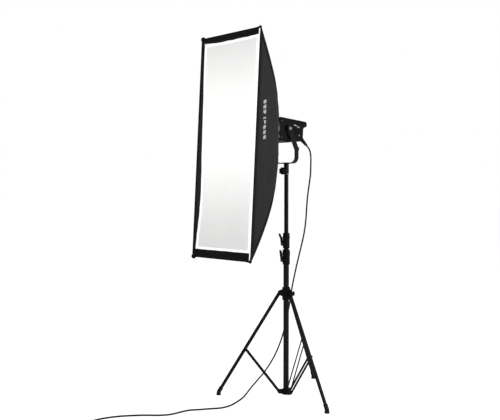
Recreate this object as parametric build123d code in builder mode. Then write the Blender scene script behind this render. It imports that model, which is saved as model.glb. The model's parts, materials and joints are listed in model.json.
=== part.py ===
from build123d import *
import math
import os

os.makedirs("parts", exist_ok=True)

# ---------------------------------------------------------------- driving dimensions (mm)
COLUMN_X = -47.0            # stand column axis, so that the object is centred on the origin
COLUMN_Y = 59.4

# stand
LEG_ANGLES = {"a": 225.0, "b": 345.0, "c": 105.0}
BASE_TUBE_R = 15.0
BASE_BORE_R = 13.5
MID_TUBE_R = 13.45
MID_BORE_R = 11.55
TOP_TUBE_R = 11.5
TOP_BORE_R = 10.0
BASE_TUBE_Z = (10.0, 744.0)
MID_TUBE_Z = (150.0, 832.0)
TOP_TUBE_Z = (450.0, 1185.0)
LOWER_CLAMP_Z = (703.0, 783.0)
UPPER_CLAMP_Z = (790.0, 872.0)
HUB_Z = (512.0, 581.0)
HUB_PIVOT = (36.0, 551.0)   # radius, height
HUB_EAR_GAP = 14.4
LEG_FOOT = (364.0, 14.0)
LEG_R = 9.0
LOWER_HUB_Z = (4.0, 30.0)
LOWER_PIVOT = (38.0, 18.0)
SPREADER_AT = 0.56          # share of the leg's length where the spreader is pinned
SPREADER_GAP = 18.8
BAR_W = 12.0
BAR_T = 2.4
RUN_FIT = 0.05              # radial clearance of a running fit

# yoke and lamp
RECEIVER_Z = (1187.0, 1242.0)
RECEIVER_KNOB_Z = 1203.0
RECEIVER_KNOB_ANGLE = 266.0
RECEIVER_R = 13.5
STUD_R = 7.95
UMBRELLA_R = 4.1
UMBRELLA_Z = 1234.0
YOKE_OUT = 80.0
YOKE_T = 5.0
YOKE_W = 28.0
PIVOT_Y = -61.0             # ahead of the column axis
PIVOT_Z = 1421.0
LAMP_TILT = 3.58
LAMP_W = 130.0
LAMP_TOP = 52.0
LAMP_BOTTOM = -64.0
LAMP_AXIS = -6.0
LAMP_REAR = -127.0          # outer face of the rear wall, along the lamp axis
HOUSING_SPLIT = -50.0
RING_R = 75.0
BORE_R = 59.0

# softbox
SB_W = 400.0
SB_H = 1100.0
SB_TILT = 3.58
SB_FRONT_Y = -448.0
SB_FRONT_Z = 1318.0
SB_DEPTH = 300.0
FABRIC = 3.0
RECESS = 18.0
BULGE_UP = 0.80              # the smaller, the fuller the curve of the upper rods
BULGE_DOWN = 0.58
REAR_HALF_W = 70.0           # fabric where it meets the mounting ring
REAR_HALF_H = 72.0

# power cord
CORD_D = 8.5
LIE = CORD_D / 2 + 0.1       # height of its middle where it lies on the floor
CORD_TOTAL = 4950.0


def turn(angle):
    return math.cos(math.radians(angle)), math.sin(math.radians(angle))


def level(z):
    """Horizontal plane on the column axis."""
    return Plane(origin=(COLUMN_X, COLUMN_Y, z))


def radial(angle):
    """Upright plane through the column axis: x runs outwards, y up."""
    c, s = turn(angle)
    return Plane(origin=(COLUMN_X, COLUMN_Y, 0), x_dir=(c, s, 0), z_dir=(s, -c, 0))


def along(plane, start, end):
    """Plane at start whose z runs to end, both given as (radius, height) on the plane."""
    p = plane.from_local_coords(Vector(start[0], start[1], 0))
    q = plane.from_local_coords(Vector(end[0], end[1], 0))
    return Plane(origin=p, x_dir=plane.z_dir, z_dir=(q - p).normalized())


def distance(p, q):
    return math.hypot(q[0] - p[0], q[1] - p[1])


LEG_LENGTH = distance(HUB_PIVOT, LEG_FOOT)
SPREADER_JOINT = (
    HUB_PIVOT[0] + SPREADER_AT * (LEG_FOOT[0] - HUB_PIVOT[0]),
    HUB_PIVOT[1] + SPREADER_AT * (LEG_FOOT[1] - HUB_PIVOT[1]),
)
SPREADER_LENGTH = distance(LOWER_PIVOT, SPREADER_JOINT)
FOLD = SPREADER_AT * LEG_LENGTH + SPREADER_LENGTH - (HUB_PIVOT[1] - LOWER_PIVOT[1])
print("leg", round(LEG_LENGTH, 2), "spreader", round(SPREADER_LENGTH, 2), "fold travel", round(FOLD, 2))
print("leg angle", round(math.atan2(LEG_FOOT[0] - HUB_PIVOT[0], HUB_PIVOT[1] - LEG_FOOT[1]), 5))
print("spreader angle", round(math.atan2(SPREADER_JOINT[0] - LOWER_PIVOT[0],
                                         SPREADER_JOINT[1] - LOWER_PIVOT[1]), 5))

made = []


def keep(builder, name):
    builder.part.label = name
    export_step(builder.part, "parts/" + name + ".step")
    made.append(name)


# ================================================================ stand: column
with BuildPart() as base_tube:
    with BuildSketch(level(BASE_TUBE_Z[0])):
        Circle(BASE_TUBE_R)
        Circle(BASE_BORE_R, mode=Mode.SUBTRACT)
    extrude(amount=BASE_TUBE_Z[1] - BASE_TUBE_Z[0])
keep(base_tube, "base_tube")

with BuildPart() as mid_tube:
    with BuildSketch(level(MID_TUBE_Z[0])):
        Circle(MID_TUBE_R)
        Circle(MID_BORE_R, mode=Mode.SUBTRACT)
    extrude(amount=MID_TUBE_Z[1] - MID_TUBE_Z[0])
keep(mid_tube, "mid_tube")

with BuildPart() as top_tube:
    with BuildSketch(level(TOP_TUBE_Z[0])):
        Circle(TOP_TUBE_R)
        Circle(TOP_BORE_R, mode=Mode.SUBTRACT)
    extrude(amount=TOP_TUBE_Z[1] - TOP_TUBE_Z[0])
keep(top_tube, "top_tube")

# 5/8 inch stud pressed into the top tube, with the waist that the lock screw bears on
with BuildPart() as spigot:
    with BuildSketch(level(1150)):
        Circle(TOP_BORE_R)
    extrude(amount=35)
    with BuildSketch(level(1185)):
        Circle(TOP_TUBE_R)
    extrude(amount=1.7)
    with BuildSketch(level(1186.7)):
        Circle(STUD_R)
    extrude(amount=9)
    with BuildSketch(level(1195.7)):
        Circle(STUD_R - 1.4)
    extrude(amount=14)
    with BuildSketch(level(1209.7)):
        Circle(STUD_R)
    extrude(amount=16)
    chamfer(spigot.edges().sort_by(Axis.Z)[-1], length=1.2)
keep(spigot, "spigot")


def clamp(outer_r, z, tube_r, tube_end, upper_bore_r):
    """Locking collar: a moulded sleeve on the end of one tube that grips the next."""
    pin_z = z[0] + 24
    with BuildPart() as collar:
        with BuildSketch(level(z[0])):
            Circle(outer_r)
        extrude(amount=z[1] - z[0])
        chamfer(collar.edges().group_by(Axis.Z)[-1], length=2.5)
        chamfer(collar.edges().group_by(Axis.Z)[0], length=1.2)
        # two lugs that carry the lever
        for side in (-1, 1):
            with BuildSketch(radial(225).offset(side * 9)):
                with Locations((outer_r + 3, pin_z)):
                    RectangleRounded(17, 20, 5)
            extrude(amount=side * 4)
        with BuildSketch(level(z[0] + 52)):
            Circle(outer_r + 1.2)
        extrude(amount=14)
        with BuildSketch(level(z[0])):
            Circle(tube_r)
        extrude(amount=tube_end - z[0], mode=Mode.SUBTRACT)
        with BuildSketch(level(tube_end)):
            Circle(upper_bore_r)
        extrude(amount=z[1] - tube_end, mode=Mode.SUBTRACT)
        # clamping slot at the upper end, under the lever
        c, s = turn(225)
        with BuildSketch(level(z[0] + 30)):
            with Locations(Location((outer_r * c, outer_r * s, 0), (0, 0, 1), 225)):
                Rectangle(2 * outer_r - 12, 2.5)
        extrude(amount=z[1] - z[0], mode=Mode.SUBTRACT)
        with BuildSketch(radial(225)):
            with Locations((outer_r + 6, pin_z)):
                Circle(2.5)
        extrude(amount=20, both=True, mode=Mode.SUBTRACT)
    return collar


def clamp_lever(outer_r, z, lean):
    """Cam lever with its hinge pin; shut, it stands along the collar with its tip leaning out."""
    pin_z = z[0] + 24
    tip = z[1] - 4
    with BuildPart() as lever:
        with BuildSketch(radial(225)):
            with Locations((outer_r + 6, pin_z)):
                Circle(2.5 - RUN_FIT)
        extrude(amount=14.5, both=True)
        with BuildSketch(radial(225)):
            with BuildLine():
                Polyline(
                    (outer_r + 3.0, pin_z + 2),
                    (outer_r + 10.5, pin_z - 2),
                    (outer_r + 10.5, pin_z + 14),
                    (outer_r + lean + 4.8, tip - 5),
                    (outer_r + lean + 3.5, tip),
                    (outer_r + lean - 3.5, tip),
                    (outer_r + 2.4, pin_z + 18),
                    close=True,
                )
            make_face()
            with Locations((outer_r + 6, pin_z)):
                Circle(5.4)
        extrude(amount=8.6, both=True)
    return lever


lower_clamp = clamp(19.5, LOWER_CLAMP_Z, BASE_TUBE_R, BASE_TUBE_Z[1], BASE_BORE_R)
keep(lower_clamp, "lower_clamp")
upper_clamp = clamp(18.0, UPPER_CLAMP_Z, MID_TUBE_R, MID_TUBE_Z[1], MID_BORE_R)
keep(upper_clamp, "upper_clamp")
lower_lever = clamp_lever(19.5, LOWER_CLAMP_Z, 6.5)
keep(lower_lever, "lower_clamp_lever")
upper_lever = clamp_lever(18.0, UPPER_CLAMP_Z, 12.0)
keep(upper_lever, "upper_clamp_lever")

# ================================================================ stand: hubs
with BuildPart() as lower_hub:
    with BuildSketch(level(LOWER_HUB_Z[0])):
        Circle(22)
    extrude(amount=LOWER_HUB_Z[1] - LOWER_HUB_Z[0])
    chamfer(lower_hub.edges().group_by(Axis.Z)[-1], length=2)
    for angle in LEG_ANGLES.values():
        with BuildSketch(radial(angle)):
            with BuildLine():
                Polyline((15, 6), (40, 8), (45, 14), (45, 22), (40, 28), (15, 29), close=True)
            make_face()
        extrude(amount=SPREADER_GAP / 2 - 0.3, both=True)
        with BuildSketch(radial(angle)):
            with Locations(LOWER_PIVOT):
                Circle(2.5)
        extrude(amount=20, both=True, mode=Mode.SUBTRACT)
    with BuildSketch(level(BASE_TUBE_Z[0])):
        Circle(BASE_TUBE_R)
    extrude(amount=60, mode=Mode.SUBTRACT)
keep(lower_hub, "lower_hub")

with BuildPart() as leg_hub:
    with BuildSketch(level(HUB_Z[0])):
        Circle(21.5)
    extrude(amount=HUB_Z[1] - HUB_Z[0])
    chamfer(leg_hub.edges().group_by(Axis.Z)[-1], length=2)
    chamfer(leg_hub.edges().group_by(Axis.Z)[0], length=2)
    for angle in LEG_ANGLES.values():
        for side in (-1, 1):
            with BuildSketch(radial(angle).offset(side * HUB_EAR_GAP / 2)):
                with BuildLine():
                    Polyline((14, 530), (34, 538), (44, 545), (44, 557), (38, 562), (14, 570), close=True)
                make_face()
            extrude(amount=side * 4.5)
        with BuildSketch(radial(angle)):
            with Locations(HUB_PIVOT):
                Circle(2.5)
        extrude(amount=20, both=True, mode=Mode.SUBTRACT)
        with BuildSketch(radial(angle)):
            with BuildLine():
                Polyline((25, 525), (50, 525), (50, 566), (25, 566), close=True)
            make_face()
        extrude(amount=HUB_EAR_GAP / 2, both=True, mode=Mode.SUBTRACT)
    with BuildSketch(radial(45)):
        with Locations((22, 546)):
            Rectangle(16, 18)
    extrude(amount=8, both=True)
    with BuildSketch(level(HUB_Z[0] - 5)):
        Circle(BASE_TUBE_R + RUN_FIT)
    extrude(amount=120, mode=Mode.SUBTRACT)
    c, s = turn(45)
    with BuildSketch(Plane(origin=(COLUMN_X, COLUMN_Y, 546), z_dir=(c, s, 0))):
        Circle(4.0)
    extrude(amount=40, mode=Mode.SUBTRACT)
keep(leg_hub, "leg_hub")


def star_knob(angle, z, screw_r, start, seat, length, outer_r):
    """Hand screw: threaded stem and a six-lobed grip, its axis level and square to the column."""
    c, s = turn(angle)
    axis = Plane(origin=(COLUMN_X, COLUMN_Y, z), z_dir=(c, s, 0))
    with BuildPart() as knob:
        with BuildSketch(axis.offset(start)):
            Circle(screw_r)
        extrude(amount=seat - start + 2)
        with BuildSketch(axis.offset(seat)):
            Circle(outer_r * 0.45)
        extrude(amount=5)
        with BuildSketch(axis.offset(seat + 4)):
            Circle(outer_r)
            with PolarLocations(outer_r * 1.14, 6):
                Circle(outer_r * 0.34, mode=Mode.SUBTRACT)
        extrude(amount=length - 4)
        chamfer(knob.faces().sort_by(Axis(axis.origin, axis.z_dir))[-1].edges(), length=1.5)
    return knob


hub_knob = star_knob(45, 546, 4.0 - RUN_FIT, BASE_TUBE_R + 0.3, 30.4, 15, 12.0)
keep(hub_knob, "hub_lock_knob")

# ================================================================ stand: legs and spreaders
for letter, angle in LEG_ANGLES.items():
    plane = radial(angle)
    leg_axis = along(plane, HUB_PIVOT, LEG_FOOT)
    with BuildPart() as leg_tube:
        with BuildSketch(leg_axis.offset(24)):
            Circle(LEG_R)
            Circle(LEG_R - 1.3, mode=Mode.SUBTRACT)
        extrude(amount=LEG_LENGTH - 24 - 4)
    keep(leg_tube, "leg_tube_" + letter)

    # tongue on the hub's pin, with a socket plug inside the tube
    with BuildPart() as bracket:
        with BuildSketch(plane):
            with BuildLine():
                dx = (LEG_FOOT[0] - HUB_PIVOT[0]) / LEG_LENGTH
                dz = (LEG_FOOT[1] - HUB_PIVOT[1]) / LEG_LENGTH
                near = (HUB_PIVOT[0] + 22 * dx, HUB_PIVOT[1] + 22 * dz)
                Polyline(
                    (HUB_PIVOT[0] - 7 * dz * -1, HUB_PIVOT[1] + 7 * dx * -1),
                    (near[0] + 8.8 * dz, near[1] - 8.8 * dx),
                    (near[0] - 8.8 * dz, near[1] + 8.8 * dx),
                    (HUB_PIVOT[0] + 7 * -dz, HUB_PIVOT[1] + 7 * dx),
                    close=True,
                )
            make_face()
            with Locations(HUB_PIVOT):
                Circle(7)
        extrude(amount=HUB_EAR_GAP / 2 - 0.3, both=True)
        with BuildSketch(leg_axis.offset(20)):
            Circle(LEG_R)
        extrude(amount=4)
        with BuildSketch(leg_axis.offset(24)):
            Circle(LEG_R - 1.3)
        extrude(amount=22)
        # pin through the hub's ears
        with BuildSketch(plane):
            with Locations(HUB_PIVOT):
                Circle(2.5 - RUN_FIT)
        extrude(amount=HUB_EAR_GAP / 2 + 5.2, both=True)
        for side in (-1, 1):
            with BuildSketch(plane.offset(side * (HUB_EAR_GAP / 2 + 4.8))):
                with Locations(HUB_PIVOT):
                    Circle(4.5)
            extrude(amount=side * 1.8)
    keep(bracket, "leg_bracket_" + letter)

    # rubber foot: a cap on the tube's end with a flat tread on the ground
    with BuildPart() as foot:
        with BuildSketch(leg_axis.offset(LEG_LENGTH - 30)):
            Circle(LEG_R + 2.2)
        extrude(amount=30)
        sole = plane.from_local_coords(Vector(LEG_FOOT[0] - 1, 0, 0))
        with BuildSketch(Plane(origin=sole)):
            Circle(13)
        extrude(amount=15, taper=9)
        with BuildSketch(leg_axis.offset(LEG_LENGTH - 32)):
            Circle(LEG_R)
        extrude(amount=28, mode=Mode.SUBTRACT)
    keep(foot, "foot_" + letter)

    # a pair of flat bars on one pin at the hub, with a rivet head on each at the leg
    with BuildPart() as spreader:
        ux = (SPREADER_JOINT[0] - LOWER_PIVOT[0]) / SPREADER_LENGTH
        uz = (SPREADER_JOINT[1] - LOWER_PIVOT[1]) / SPREADER_LENGTH
        mid = ((SPREADER_JOINT[0] + LOWER_PIVOT[0]) / 2, (SPREADER_JOINT[1] + LOWER_PIVOT[1]) / 2)
        tilt = math.degrees(math.atan2(uz, ux))
        for side in (-1, 1):
            with BuildSketch(plane.offset(side * SPREADER_GAP / 2)):
                with Locations(Location((mid[0], mid[1], 0), (0, 0, 1), tilt)):
                    SlotCenterToCenter(SPREADER_LENGTH, BAR_W)
            extrude(amount=side * BAR_T)
            with BuildSketch(plane.offset(side * (SPREADER_GAP / 2 + BAR_T))):
                with Locations(SPREADER_JOINT, LOWER_PIVOT):
                    Circle(4.2)
            extrude(amount=side * 1.8)
        with BuildSketch(plane):
            with Locations(LOWER_PIVOT):
                Circle(2.5 - RUN_FIT)
        extrude(amount=SPREADER_GAP / 2, both=True)
    keep(spreader, "spreader_" + letter)

# ================================================================ yoke
with BuildPart() as receiver:
    with BuildSketch(level(RECEIVER_Z[0])):
        Circle(RECEIVER_R)
    extrude(amount=RECEIVER_Z[1] - RECEIVER_Z[0])
    chamfer(receiver.edges().group_by(Axis.Z)[0], length=1.5)
    c, s = turn(RECEIVER_KNOB_ANGLE)
    with BuildSketch(Plane(origin=(COLUMN_X, COLUMN_Y, RECEIVER_KNOB_Z), z_dir=(c, s, 0)).offset(8)):
        Circle(10)
    extrude(amount=8)
    with BuildSketch(level(RECEIVER_Z[0])):
        Circle(STUD_R + RUN_FIT)
    extrude(amount=39.5, mode=Mode.SUBTRACT)
    with BuildSketch(Plane(origin=(COLUMN_X, COLUMN_Y, RECEIVER_KNOB_Z), z_dir=(c, s, 0))):
        Circle(4.0)
    extrude(amount=30, mode=Mode.SUBTRACT)
    with BuildSketch(Plane(origin=(COLUMN_X, COLUMN_Y, UMBRELLA_Z), z_dir=(0, 1, 0))):
        Circle(UMBRELLA_R)
    extrude(amount=30, both=True, mode=Mode.SUBTRACT)
keep(receiver, "receiver")

receiver_knob = star_knob(
    RECEIVER_KNOB_ANGLE, RECEIVER_KNOB_Z, 4.0 - RUN_FIT, STUD_R + 0.3, 16.6, 22, 19.0)
keep(receiver_knob, "receiver_knob")

PIVOT = (COLUMN_Y + PIVOT_Y, PIVOT_Z)
with BuildPart() as yoke:
    with BuildSketch(Plane(origin=(COLUMN_X, COLUMN_Y - 8, 0), x_dir=(1, 0, 0), z_dir=(0, -1, 0))) as strap:
        with BuildLine():
            low = RECEIVER_Z[1]
            Polyline((-YOKE_OUT, 1316), (-YOKE_OUT, low), (YOKE_OUT, low), (YOKE_OUT, 1316), close=True)
        make_face()
        fillet(strap.vertices().group_by(Axis.Z)[0], radius=34)
        with BuildLine():
            inner = YOKE_OUT - YOKE_T
            Line((-inner, 1330), (-inner, low + YOKE_T + 29))
            RadiusArc((-inner, low + YOKE_T + 29), (29 - inner, low + YOKE_T), -29)
            Line((29 - inner, low + YOKE_T), (inner - 29, low + YOKE_T))
            RadiusArc((inner - 29, low + YOKE_T), (inner, low + YOKE_T + 29), -29)
            Line((inner, low + YOKE_T + 29), (inner, 1330))
            Line((inner, 1330), (-inner, 1330))
        make_face(mode=Mode.SUBTRACT)
    extrude(amount=YOKE_W / 2, both=True)
    with BuildSketch(level(RECEIVER_Z[1])):
        Circle(20)
    extrude(amount=6)
    for side in (-1, 1):
        outer = Plane(origin=(COLUMN_X + side * YOKE_OUT, 0, 0), x_dir=(0, 1, 0), z_dir=(1, 0, 0))
        front = COLUMN_Y - 8 - YOKE_W / 2
        back = COLUMN_Y - 8 + YOKE_W / 2
        with BuildSketch(outer):
            with BuildLine():
                Polyline(
                    (front, 1290),
                    (back, 1290),
                    (back, 1322),
                    (PIVOT[0] + 17, 1414),
                    (PIVOT[0] + 14, 1433),
                    (PIVOT[0] - 14, 1433),
                    (PIVOT[0] - 17, 1410),
                    (front, 1310),
                    close=True,
                )
            make_face()
            with Locations(PIVOT):
                Circle(20)
                Circle(5.0, mode=Mode.SUBTRACT)
        extrude(amount=-side * YOKE_T)
keep(yoke, "yoke")

# ================================================================ lamp head
LAMP = Plane(
    origin=(COLUMN_X, PIVOT[0], PIVOT[1]),
    x_dir=(1, 0, 0),
    z_dir=(0, -turn(LAMP_TILT)[0], turn(LAMP_TILT)[1]),
)
LAMP_SIDE = Plane(origin=LAMP.origin, x_dir=LAMP.z_dir, z_dir=-LAMP.x_dir)   # x ahead, y up


def lamp_at(x, up, ahead):
    return LAMP.from_local_coords(Vector(x, up, ahead))


BODY_MID = (LAMP_TOP + LAMP_BOTTOM) / 2
DIAL_AT = (10.0, -14.0)
BUTTON_AT = (-8.0, -37.0)
SWITCH_AT = (-43.0, -28.0)
DISPLAY_AT = (-25.0, 2.0)

# the cord's inlet leaves the lower right of the rear wall, pointing back and down
inlet_start = Vector(COLUMN_X + 40, COLUMN_Y + 60, 1384)
inlet_end = Vector(COLUMN_X + 40, COLUMN_Y + 118, 1344)
inlet = Plane(origin=inlet_start, x_dir=(1, 0, 0), z_dir=(inlet_end - inlet_start).normalized())
INLET_LENGTH = (inlet_end - inlet_start).length
BODY_H = LAMP_TOP - LAMP_BOTTOM

with BuildPart() as front_housing:
    with BuildSketch(LAMP.offset(HOUSING_SPLIT)):
        with Locations((0, BODY_MID)):
            RectangleRounded(LAMP_W, BODY_H, 16)
            RectangleRounded(LAMP_W - 6, BODY_H - 6, 13, mode=Mode.SUBTRACT)
    extrude(amount=62 - HOUSING_SPLIT)
    # flange that carries the mount ring
    with BuildSketch(LAMP.offset(62)):
        with Locations((0, LAMP_AXIS)):
            Circle(RING_R - 4)
            Circle(BORE_R - 8, mode=Mode.SUBTRACT)
    extrude(amount=4)
    # bosses for the yoke bolts
    for side in (-1, 1):
        with BuildSketch(Plane(origin=lamp_at(side * (LAMP_W / 2 - 3), 0, 0), z_dir=(side, 0, 0))):
            Circle(15)
        extrude(amount=YOKE_OUT - YOKE_T - 0.3 - LAMP_W / 2 + 3)
        # hollow trunnion that turns in the yoke's arm
        with BuildSketch(Plane(origin=lamp_at(side * (LAMP_W / 2 - 3), 0, 0), z_dir=(side, 0, 0))):
            Circle(5.0 - RUN_FIT)
        extrude(amount=YOKE_OUT + 0.3 - LAMP_W / 2 + 3)
        with BuildSketch(Plane(origin=lamp_at(side * 40, 0, 0), z_dir=(side, 0, 0))):
            Circle(3.5)
        extrude(amount=60, mode=Mode.SUBTRACT)
    # cooling slots along both cheeks
    for k in range(6):
        with BuildSketch(Plane(origin=lamp_at(0, -14 - 6.5 * k, -8), x_dir=LAMP.z_dir, z_dir=(1, 0, 0))):
            SlotOverall(46, 2.6)
        extrude(amount=80, both=True, mode=Mode.SUBTRACT)
keep(front_housing, "front_housing")

with BuildPart() as rear_housing:
    with BuildSketch(LAMP.offset(LAMP_REAR)):
        with Locations((0, BODY_MID + 5)):
            RectangleRounded(LAMP_W - 8, BODY_H - 14, 15)
    with BuildSketch(LAMP.offset(HOUSING_SPLIT)):
        with Locations((0, BODY_MID)):
            RectangleRounded(LAMP_W, BODY_H, 16)
    loft()
    with BuildSketch(LAMP.offset(LAMP_REAR + 3)):
        with Locations((0, BODY_MID + 5)):
            RectangleRounded(LAMP_W - 14, BODY_H - 20, 12)
    with BuildSketch(LAMP.offset(HOUSING_SPLIT)):
        with Locations((0, BODY_MID)):
            RectangleRounded(LAMP_W - 6, BODY_H - 6, 13)
    loft(mode=Mode.SUBTRACT)
    # openings behind the panel for the shafts of the controls and for the cable inlet
    with BuildSketch(LAMP.offset(LAMP_REAR - 2)):
        with Locations(DIAL_AT):
            Circle(4)
        with Locations(BUTTON_AT):
            Circle(3.2)
        with Locations(SWITCH_AT):
            Rectangle(14, 21)
        with Locations(DISPLAY_AT):
            Rectangle(38, 17)
    extrude(amount=8, mode=Mode.SUBTRACT)
keep(rear_housing, "rear_housing")

# lid on the top of the head, reaching back as a hood over the controls
with BuildPart() as top_cover:
    with BuildSketch(LAMP_SIDE):
        with BuildLine():
            Polyline(
                (52, LAMP_TOP + 0.2), (52, LAMP_TOP + 2), (48, LAMP_TOP + 4), (-154, LAMP_TOP + 4),
                (-162, LAMP_TOP - 2), (-164, LAMP_TOP - 18), (-158, LAMP_TOP - 24), (-150, LAMP_TOP - 25),
                (LAMP_REAR - 4.6, LAMP_TOP - 38), (LAMP_REAR - 4.6, LAMP_TOP + 0.2), close=True,
            )
        make_face()
    extrude(amount=54, both=True)
keep(top_cover, "top_cover")

# bowed tray under the head
with BuildPart() as belly_cover:
    with BuildSketch(LAMP_SIDE):
        with BuildLine():
            Line((58, LAMP_BOTTOM - 0.2), (-48, LAMP_BOTTOM - 0.2))
            ThreePointArc((-48, LAMP_BOTTOM - 0.2), (6, LAMP_BOTTOM - 7), (58, LAMP_BOTTOM - 0.2))
        make_face()
    extrude(amount=46, both=True)
keep(belly_cover, "belly_cover")

with BuildPart() as mount_ring:
    with BuildSketch(LAMP.offset(66)):
        with Locations((0, LAMP_AXIS)):
            Circle(RING_R)
            Circle(BORE_R, mode=Mode.SUBTRACT)
    extrude(amount=12)
    chamfer(mount_ring.edges().sort_by(SortBy.LENGTH)[-2:], length=1.2)
    with BuildSketch(Plane(origin=lamp_at(0, LAMP_AXIS + RING_R + 1, 72), z_dir=LAMP.y_dir)):
        Circle(3.0)
    extrude(amount=-14, mode=Mode.SUBTRACT)
keep(mount_ring, "mount_ring")

# spring pin that locks the accessory ring, with a finger button
with BuildPart() as mount_latch:
    top = LAMP_AXIS + RING_R
    with BuildSketch(Plane(origin=lamp_at(0, top - 10, 72), z_dir=LAMP.y_dir)):
        Circle(3.0 - RUN_FIT)
    extrude(amount=14)
    with BuildSketch(Plane(origin=lamp_at(0, top + 3.5, 72), z_dir=LAMP.y_dir)):
        RectangleRounded(13, 9, 2)
    extrude(amount=4)
keep(mount_latch, "mount_latch")

with BuildPart() as heat_sink:
    with BuildSketch(LAMP.offset(24)):
        with Locations((0, BODY_MID)):
            Rectangle(104, 84)
    extrude(amount=8)
    with BuildSketch(LAMP.offset(-30)):
        for k in range(11):
            with Locations((-50 + 10 * k, BODY_MID)):
                Rectangle(3, 84)
    extrude(amount=54)
keep(heat_sink, "heat_sink")

with BuildPart() as led_module:
    with BuildSketch(LAMP.offset(32)):
        with Locations((0, LAMP_AXIS)):
            RectangleRounded(62, 62, 4)
    extrude(amount=2)
    with BuildSketch(LAMP.offset(34)):
        with Locations((0, LAMP_AXIS)):
            Circle(20)
    extrude(amount=1.5)
keep(led_module, "led_module")

with BuildPart() as front_glass:
    with BuildSketch(LAMP.offset(66)):
        with Locations((0, LAMP_AXIS)):
            Circle(BORE_R - 0.2)
    extrude(amount=4)
keep(front_glass, "front_glass")

with BuildPart() as fan_frame:
    with BuildSketch(LAMP.offset(-74)):
        with Locations((0, BODY_MID)):
            RectangleRounded(80, 80, 4)
            Circle(37, mode=Mode.SUBTRACT)
            with GridLocations(71.5, 71.5, 2, 2):
                Circle(2.1, mode=Mode.SUBTRACT)
    extrude(amount=24)
    with BuildSketch(LAMP.offset(-74)):
        with Locations((0, BODY_MID)):
            Circle(15)
            for k in range(3):
                with Locations(Location((0, 0, 0), (0, 0, 1), 30 + 120 * k)):
                    with Locations((25, 0)):
                        Rectangle(26, 4)
    extrude(amount=3)
    with BuildSketch(LAMP.offset(-71)):
        with Locations((0, BODY_MID)):
            Circle(2.45)
    extrude(amount=16)
keep(fan_frame, "fan_frame")

with BuildPart() as fan_rotor:
    with BuildSketch(LAMP.offset(-70.6)):
        with Locations((0, BODY_MID)):
            Circle(17)
    extrude(amount=18)
    for k in range(7):
        blade = Plane(LAMP.offset(-62).location * Location((0, BODY_MID, 0), (0, 0, 1), 360 / 7 * k))
        with BuildSketch(Plane(origin=blade.from_local_coords(Vector(16, 0, 0)), z_dir=blade.x_dir,
                               x_dir=(blade.y_dir * 0.8 + blade.z_dir * 0.6).normalized())):
            Rectangle(16, 1.6)
        extrude(amount=19.5)
    with BuildSketch(LAMP.offset(-71)):
        with Locations((0, BODY_MID)):
            Circle(2.5)
    extrude(amount=17, mode=Mode.SUBTRACT)
keep(fan_rotor, "fan_rotor")

# rear panel and its controls
with BuildPart() as control_panel:
    with BuildSketch(LAMP.offset(LAMP_REAR - 4)):
        with Locations((0, -17)):
            RectangleRounded(112, 62, 6)
        with Locations(DIAL_AT):
            Circle(4, mode=Mode.SUBTRACT)
        with Locations(BUTTON_AT):
            Circle(3.2, mode=Mode.SUBTRACT)
        with Locations(SWITCH_AT):
            Rectangle(14, 21, mode=Mode.SUBTRACT)
        with Locations(DISPLAY_AT):
            Rectangle(36, 14, mode=Mode.SUBTRACT)
    extrude(amount=4)
    with BuildSketch(inlet.offset(-12)):
        Circle(12.3)
    extrude(amount=40, mode=Mode.SUBTRACT)
keep(control_panel, "control_panel")

with BuildPart() as display:
    with BuildSketch(LAMP.offset(LAMP_REAR - 3.6)):
        with Locations(DISPLAY_AT):
            Rectangle(36, 14)
    extrude(amount=3.6)
keep(display, "display")

with BuildPart() as dimmer_dial:
    with BuildSketch(LAMP.offset(LAMP_REAR - 13)):
        with Locations(DIAL_AT):
            Circle(11)
            with PolarLocations(11.4, 18):
                Circle(0.9, mode=Mode.SUBTRACT)
    extrude(amount=8.7)
    with BuildSketch(LAMP.offset(LAMP_REAR - 5)):
        with Locations(DIAL_AT):
            Circle(4 - RUN_FIT)
    extrude(amount=12)
keep(dimmer_dial, "dimmer_dial")

with BuildPart() as mode_button:
    with BuildSketch(LAMP.offset(LAMP_REAR - 7)):
        with Locations(BUTTON_AT):
            Circle(3.2 - RUN_FIT)
    extrude(amount=10)
    with BuildSketch(LAMP.offset(LAMP_REAR + 3)):
        with Locations(BUTTON_AT):
            Circle(4.4)
    extrude(amount=2)
keep(mode_button, "mode_button")

with BuildPart() as power_switch:
    rocker = Plane(
        origin=lamp_at(SWITCH_AT[0], SWITCH_AT[1], LAMP_REAR + 0.4), x_dir=-LAMP.z_dir, z_dir=LAMP.x_dir)
    with BuildSketch(rocker):
        with BuildLine():
            Polyline((-3, 8.4), (-3, -8.4), (4.6, -9.2), (7.4, -8.6), (5.2, 0.4), (7.0, 8.6), (4.6, 9.2),
                     close=True)
        make_face()
    extrude(amount=6.6, both=True)
    # trunnions that it rocks on
    with BuildSketch(rocker):
        Circle(1.6)
    extrude(amount=6.9, both=True)
keep(power_switch, "power_switch")

# screws in the trunnions: a cap on the near side, a hand knob on the far side
with BuildPart() as pivot_bolt:
    with BuildSketch(Plane(origin=lamp_at(56, 0, 0), z_dir=(1, 0, 0))):
        Circle(3.5)
    extrude(amount=YOKE_OUT + 0.3 - 56)
    with BuildSketch(Plane(origin=lamp_at(YOKE_OUT + 0.3, 0, 0), z_dir=(1, 0, 0))):
        Circle(8)
    extrude(amount=3.2, taper=20)
keep(pivot_bolt, "pivot_bolt")

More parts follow.
